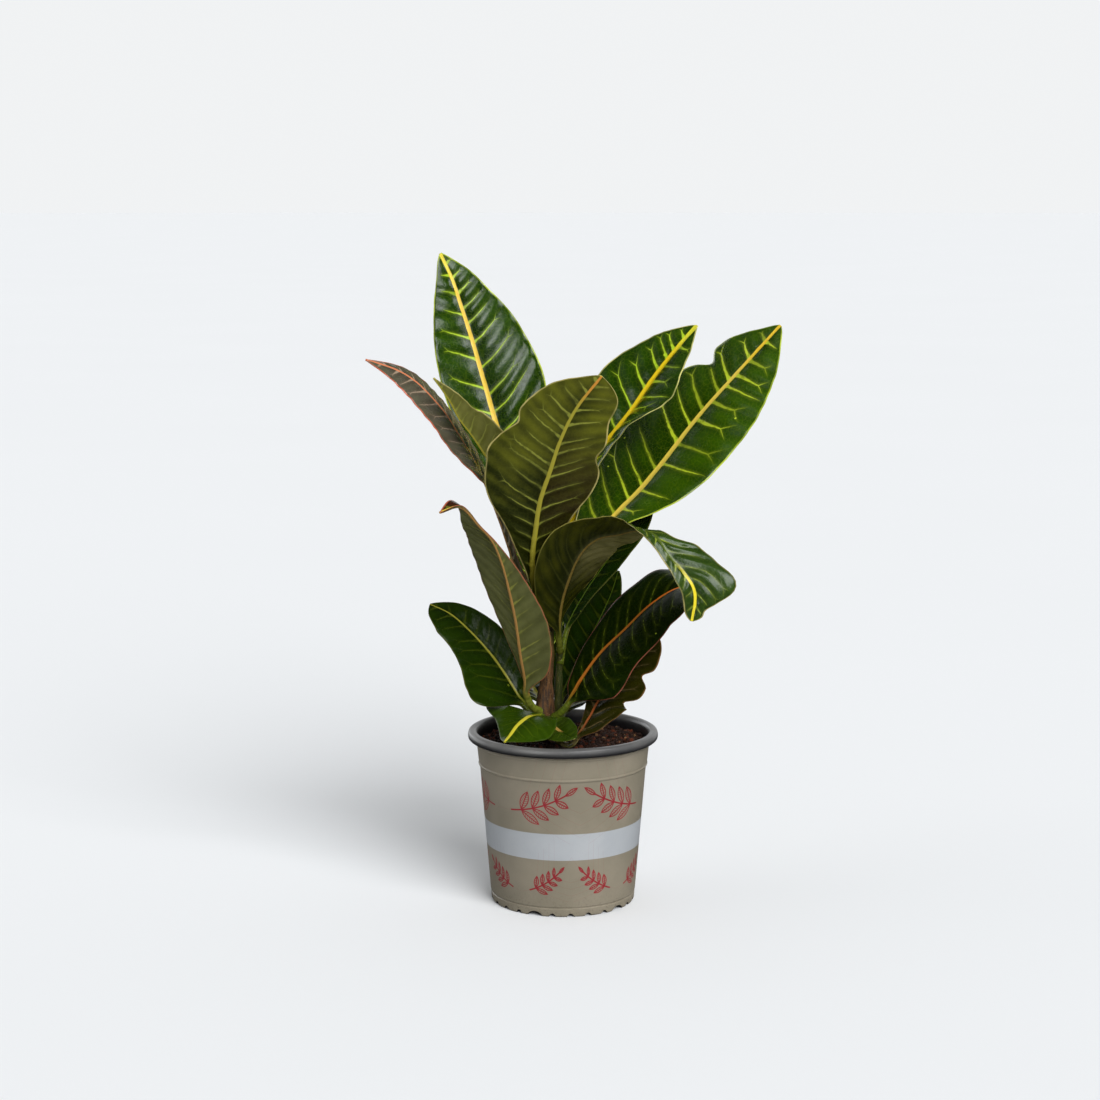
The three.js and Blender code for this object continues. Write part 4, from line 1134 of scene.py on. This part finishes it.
def leaflet(root, length, lean):
    """Mask of one pair of leaflets that grow from the twig at root."""
    on = from_foot - root
    cos_lean, sin_lean = math.cos(lean), math.sin(lean)
    down = on * cos_lean + off * sin_lean
    side = abs(off * cos_lean - on * sin_lean)
    share = p.math("DIVIDE", down, length, clamp=True)
    within = share * (1.0 - share) * (length * LEAFLET_FAT) - side
    body = p.ramp(within, -0.1, 0.1)
    outline_ink = p.fall(within, 0.55, 0.75)
    vein_ink = p.fall(side, 0.26, 0.44)
    hatch_ink = p.fall((down - side * 0.8) % HATCH_STEP, 0.45, 0.6) * 0.75
    ink = p.math("MAXIMUM", p.math("MAXIMUM", outline_ink, vein_ink), hatch_ink)
    return body * ink


step = p.math("FLOOR", from_foot / pitch)
twig_end = given["Length"] * 0.5
before_end = p.fall(twig, twig_end, twig_end + 0.4)
mask = p.ramp(from_foot, 0.0, 0.4) * before_end * p.fall(off, 0.4, 0.6)
for back in (0, 1, 2):
    index_here = step - float(back)
    grown = (index_here > 0.5) * (index_here < 4.5)
    length = given["Length"] * (index_here * -0.032 + 0.4)
    pair = leaflet(index_here * pitch, length, LEAFLET_LEAN)
    mask = p.math("MAXIMUM", mask, pair * grown)
last_root, last_length = (given["Length"] * share for share in (0.97, 0.24))
mask = p.math("MAXIMUM", mask, leaflet(last_root, last_length, 0.0))
p.put(result["Mask"], mask)
print("sprig group:", len(p.tree.nodes), "nodes")

# %% [markdown]
# ## Plastic
# Moulded plastic isn't perfectly even: it has a fine grain, faint upright streaks from the mould, dull
# patches from handling and dust low down. The printed outside and the dark plastic of the rim and inside
# share one group for that.

# %% Plastic wear group
w, given, result = shader_group("plastic_wear", [("Dust Height", "Float", 20.0)],
                                [("Dust", "Float"), ("Rub", "Float"), ("Height", "Float")])
place = w.get("ShaderNodeTexCoord", "Object")
_, height = w.uv("wall")
speckle = w.ramp(w.noise(place, 700.0, 4.0, 0.7), 0.5, 0.72)
w.put(result["Dust"], w.fall(height, 0.0, given["Dust Height"]) * speckle)
w.put(result["Rub"], w.ramp(w.noise(place, 34.0, 5.0, 0.62), 0.35, 0.7))
stretched = w.get("ShaderNodeMapping", 0, {"Vector": place, "Scale": (1, 1, 0.06)})
w.put(result["Height"], w.noise(place, 2600.0, 3.0) * 0.03 + w.noise(stretched, 260.0, 3.0) * 0.05)
print("plastic wear group:", len(w.tree.nodes), "nodes")

# %% Printed outside
BAND_MIDDLE = 45.5
BAND_HALF = 8.5
BAND_EDGE = 0.1
# The rows of sprigs, above and below the band.
SPRIGS = (
    {"Count": 6.0, "Row Height": 71.0, "Length": 38.0, "Tilt": 0.32, "Shift": 0.3},
    {"Count": 9.0, "Row Height": 21.5, "Length": 24.0, "Tilt": 0.55, "Shift": 0.1},
)
pot_print, nodes = new_material("pot_print")
turn, height = nodes.uv("wall")
wear = nodes.group(w)
taupe = nodes.blend(wear["Rub"], srgb(122, 115, 99), srgb(131, 123, 107))
from_band = abs(height - BAND_MIDDLE)
band = nodes.fall(from_band, BAND_HALF - BAND_EDGE, BAND_HALF + BAND_EDGE)
face = nodes.blend(band, taupe, nodes.blend(wear["Rub"], srgb(154, 158, 162), srgb(161, 164, 167)))
upper_sprigs, lower_sprigs = (
    nodes.group(p, {"Turn": turn, "Height": height, **sprigs})["Mask"] for sprigs in SPRIGS)
ink = nodes.blend(wear["Rub"], srgb(126, 24, 34), srgb(138, 34, 42))
face = nodes.blend(nodes.math("MAXIMUM", upper_sprigs, lower_sprigs), face, ink)
face = nodes.blend(wear["Dust"] * 0.5, face, srgb(70, 56, 42))
finish(nodes, face, wear["Rub"] * 0.1 + 0.42, (wear["Height"], 1.0, 0.5), gloss=0.4)

# %% Dark plastic
# Painted shade: below the first height the plastic is painted near black, inside the pot, under its foot and
# under the rim's lip, and it turns to the rim's own grey by the second.
PAINTED_SHADE_BELOW = 104.0  # the inside is darker below this height, and as pale as the rim above the next
PAINTED_SHADE_ENDS = 108.5
pot_dark, nodes = new_material("pot_dark_plastic")
wear = nodes.group(w, {"Dust Height": 60.0})
_, height = nodes.uv("wall")
dark = nodes.blend(wear["Rub"], srgb(84, 84, 84), srgb(100, 99, 97))
# Painted shade darkens the plastic below the rim, inside the pot and under its foot.
dark = nodes.blend(nodes.ramp(height, PAINTED_SHADE_BELOW, PAINTED_SHADE_ENDS), srgb(20, 20, 23), dark)
dark = nodes.blend(wear["Dust"] * 0.6, dark, srgb(74, 58, 44))
finish(nodes, dark, wear["Rub"] * 0.12 + 0.3, (wear["Height"], 1.0, 0.6))

# %% Make the pot
pot = run_tree(t, outline_piece, "pot_turned", **{
    "First Scallop": math.radians(-113), "Printed From": printed_rows[0], "Printed To": printed_rows[1],
    "Axis": tuple(POT_AXIS * MM), "Print": pot_print, "Plastic": pot_dark})
pot.data.set_sharp_from_angle(angle=math.radians(50))
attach(pot, "root")
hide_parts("pot")

# %% [markdown]
# ## Stems
# The stem is woody and brown with tan streaks, a little knuckled where old leaves have been. A curve with a
# radius at every point is swept into a tube by a tree, which also roughens the bark. The same tree makes the
# thinner side stem.

# %% Stem tree
s_tree, given, made = shape_tree("swept_stem", [
    ("Sides", "Int", 28), ("Bark", "Float", 0.0003), ("Bark Scale", "Float", 420.0), ("Finish", "Material")])
spine = s_tree.step("MeshToCurve", given["Geometry"])
thickness = s_tree.get("GeometryNodeInputNamedAttribute", "Attribute", {"Name": "thickness"},
                       data_type="FLOAT")
circle = s_tree.get("GeometryNodeCurvePrimitiveCircle", "Curve", {
    "Resolution": given["Sides"], "Radius": 1.0})
tube = s_tree.get("GeometryNodeCurveToMesh", 0, {
    "Curve": spine, "Profile Curve": circle, "Fill Caps": True, "Scale": thickness})
where = s_tree.get("ShaderNodeVectorMath", 0, {
    0: s_tree.get("GeometryNodeInputPosition"), 1: (1, 1, 0.25)}, operation="MULTIPLY")
lumps = s_tree.noise(where, given["Bark Scale"], 3.0) - 0.5
push = s_tree.get("ShaderNodeVectorMath", 0, {
    0: s_tree.get("GeometryNodeInputNormal"), "Scale": lumps * given["Bark"]}, operation="SCALE")
rough = s_tree.step("SetPosition", tube, Offset=push)
rough = s_tree.step("RealizeInstances", s_tree.step("SetShadeSmooth", rough))
s_tree.put(made[0], s_tree.step("SetMaterial", rough, Material=given["Finish"]))
print("stem tree:", len(s_tree.tree.nodes), "nodes")

# %% Bark
GREENING = 45  # the height over which bark turns green


def bark_material(name, dark, light, green, green_from):
    """Streaked bark that turns green above a height."""
    material, nodes = new_material(name)
    place = nodes.get("ShaderNodeTexCoord", "Object")
    upright = nodes.get("ShaderNodeMapping", 0, {"Vector": place, "Scale": (1, 1, 0.12)})
    streaks = nodes.ramp(nodes.noise(upright, 900.0, 4.0, 0.6), 0.38, 0.64)
    fresh = nodes.ramp(nodes.split(place)[2], green_from * MM, (green_from + GREENING) * MM)
    spots = nodes.ramp(nodes.noise(place, 1300.0, 3.0), 0.6, 0.68)
    fresh_colour = nodes.blend(streaks * 0.5, green, light)
    colour = nodes.blend(fresh, nodes.blend(streaks, dark, light), fresh_colour)
    colour = nodes.blend(spots * 0.4, colour, srgb(140, 116, 80))
    relief = streaks * 0.35 + nodes.noise(place, 1700.0, 3.0)
    finish(nodes, colour, streaks * 0.15 + 0.55, (relief, 0.3, 0.7))
    return material


# %% Make the stems
STEMS = {
    "stem": ([(-12, 0, 58), (-12.5, -1, 100), (-11, 0, 130), (-9, 1, 165), (-7, 1, 196), (-6, 1, 216)],
             [6.4, 6.6, 5.7, 3.8, 2.6, 0.9]),
    "side_stem": ([(-5, 6, 76), (-4, 6, 104), (-3, 6, 132), (-2, 4, 160), (-1, 3, 178)],
                  [3, 2.8, 2.6, 2.2, 0.9]),
}
barks = {
    "stem": bark_material("stem_bark", srgb(34, 22, 12), srgb(88, 60, 34), srgb(62, 66, 22), 140),
    "side_stem": bark_material("side_stem_bark", srgb(36, 36, 12), srgb(62, 60, 22), srgb(34, 44, 10), 100),
}
for stem_name, (stem_path, radii) in STEMS.items():
    spine_points, spine_arc = curve_through(stem_path, 24)
    share = spine_arc / spine_arc[-1]
    # Knuckles along the stem, and a rounded tip.
    thick = along(radii, share) * (1 + 0.07 * np.cos(share * 31) + 0.03 * np.sin(share * 83))
    thick *= np.sqrt(np.clip((1 - share) * 30, 0.02, 1))
    spine_piece = mesh_piece("spine", spine_points + POT_AXIS, links=chain(spine_points))
    thickness = spine_piece.data.attributes.new("thickness", "FLOAT", "POINT")
    thickness.data.foreach_set("value", thick * MM)
    stem_piece = run_tree(s_tree, spine_piece, stem_name + "_bark", Finish=barks[stem_name])
    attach(stem_piece, "root")
    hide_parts(stem_name)


# %% [markdown]
# ## Soil
# The soil is dark potting mix: brown peat crumbs with reddish bits of bark. The CAD solid keeps its place as
# the body of the soil and gets an earthy finish. Over it lie loose crumbs, scattered by a tree from a fixed
# seed. Each crumb is a small ball of few faces, pushed out of round by noise, and has a tone of its own.

# %% Earth finish
def earth_material(name, crumbs):
    """Peat and bark colours. The crumbs bring a tone of their own, the body takes one from noise."""
    material, nodes = new_material(name)
    place = nodes.get("ShaderNodeTexCoord", "Object")
    fine = nodes.noise(place, 900.0, 5.0, 0.7)
    if crumbs:
        tone = nodes.get("ShaderNodeAttribute", "Fac", attribute_name="tone")
    else:
        tone = nodes.noise(place, 320.0, 2.0)
    colour = nodes.blend(nodes.ramp(tone, 0.0, 1.0), srgb(30, 17, 11), srgb(55, 33, 22))
    colour = nodes.blend(nodes.ramp(tone, 0.8, 0.84), colour, srgb(94, 46, 28))
    colour = nodes.blend(nodes.ramp(tone, 0.97, 0.98), colour, srgb(132, 98, 66))
    colour = nodes.blend(nodes.ramp(fine, 0.3, 0.7) * 0.6, colour, srgb(22, 13, 9))
    finish(nodes, colour, fine * 0.2 + 0.75, (fine, 0.5, 0.8))
    return material


soil_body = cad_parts["soil"]
soil_body.data.materials.clear()
soil_body.data.materials.append(earth_material("earth", False))

# %% Crumb tree
c, given, made = shape_tree("scattered_crumbs", [
    ("Per Square Metre", "Float", 275000.0), ("Seed", "Int", 4), ("Smallest", "Float", 0.0006),
    ("Largest", "Float", 0.0017), ("Roughness", "Float", 0.0009), ("Finish", "Material")])
scatter = c.get("GeometryNodeDistributePointsOnFaces", "Points", {
    "Mesh": given["Geometry"], "Density": given["Per Square Metre"], "Seed": given["Seed"]})
ball = c.get("GeometryNodeMeshIcoSphere", "Mesh", {"Radius": 1.0, "Subdivisions": 2})
size = c.get("FunctionNodeRandomValue", 1, {2: given["Smallest"], 3: given["Largest"], "Seed": 11},
             data_type="FLOAT")
squash = c.get("FunctionNodeRandomValue", 0, {0: (0.6, 0.6, 0.5), 1: (1.4, 1.2, 1.0)},
               data_type="FLOAT_VECTOR")
scale = c.get("ShaderNodeVectorMath", 0, {0: squash, "Scale": size}, operation="SCALE")
tumble = c.get("FunctionNodeRandomValue", 0, {1: (6.28, 6.28, 6.28)}, data_type="FLOAT_VECTOR")
crumbs = c.step("InstanceOnPoints", scatter, Instance=ball, Scale=scale, Rotation=tumble)
tone = c.get("FunctionNodeRandomValue", 1, {"Seed": 23}, data_type="FLOAT")
toned = c.get("GeometryNodeStoreNamedAttribute", 0, {0: crumbs, "Name": "tone", "Value": tone},
              data_type="FLOAT", domain="INSTANCE")
loose = c.step("RealizeInstances", toned)
shake = c.get("ShaderNodeTexNoise", "Color", {
    "Vector": c.get("GeometryNodeInputPosition"), "Scale": 620.0, "Detail": 1.0})
shake = c.get("ShaderNodeVectorMath", 0, {0: shake, 1: (0.5, 0.5, 0.5)}, operation="SUBTRACT")
shake = c.get("ShaderNodeVectorMath", 0, {0: shake, "Scale": given["Roughness"]}, operation="SCALE")
loose = c.step("SetPosition", loose, Offset=shake)
c.put(made[0], c.step("SetMaterial", loose, Material=given["Finish"]))
print("crumb tree:", len(c.tree.nodes), "nodes")

# %% Make the crumbs
SOIL_LEVEL = 101
SOIL_RADIUS = 51.6
SOIL_RINGS = 14
CRUMB_LIFT = 0.2


def soil_top(x, y):
    """The lumpy top of the soil, as in the CAD part."""
    return SOIL_LEVEL + 0.7 * np.sin(x * 0.31 + 1.1) * np.cos(y * 0.27) + 0.5 * np.sin(y * 0.53 - x * 0.4)


flat_points, top_faces = disc([SOIL_RADIUS * (k + 1) / SOIL_RINGS for k in range(SOIL_RINGS)], 60)
top_points = [(x, y, soil_top(x, y) + CRUMB_LIFT) for x, y, _ in flat_points]
top = mesh_piece("soil_top", np.array(top_points) + POT_AXIS, top_faces)
crumb_piece = run_tree(c, top, "soil_crumbs", Finish=earth_material("crumb_earth", True))
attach(crumb_piece, "root")
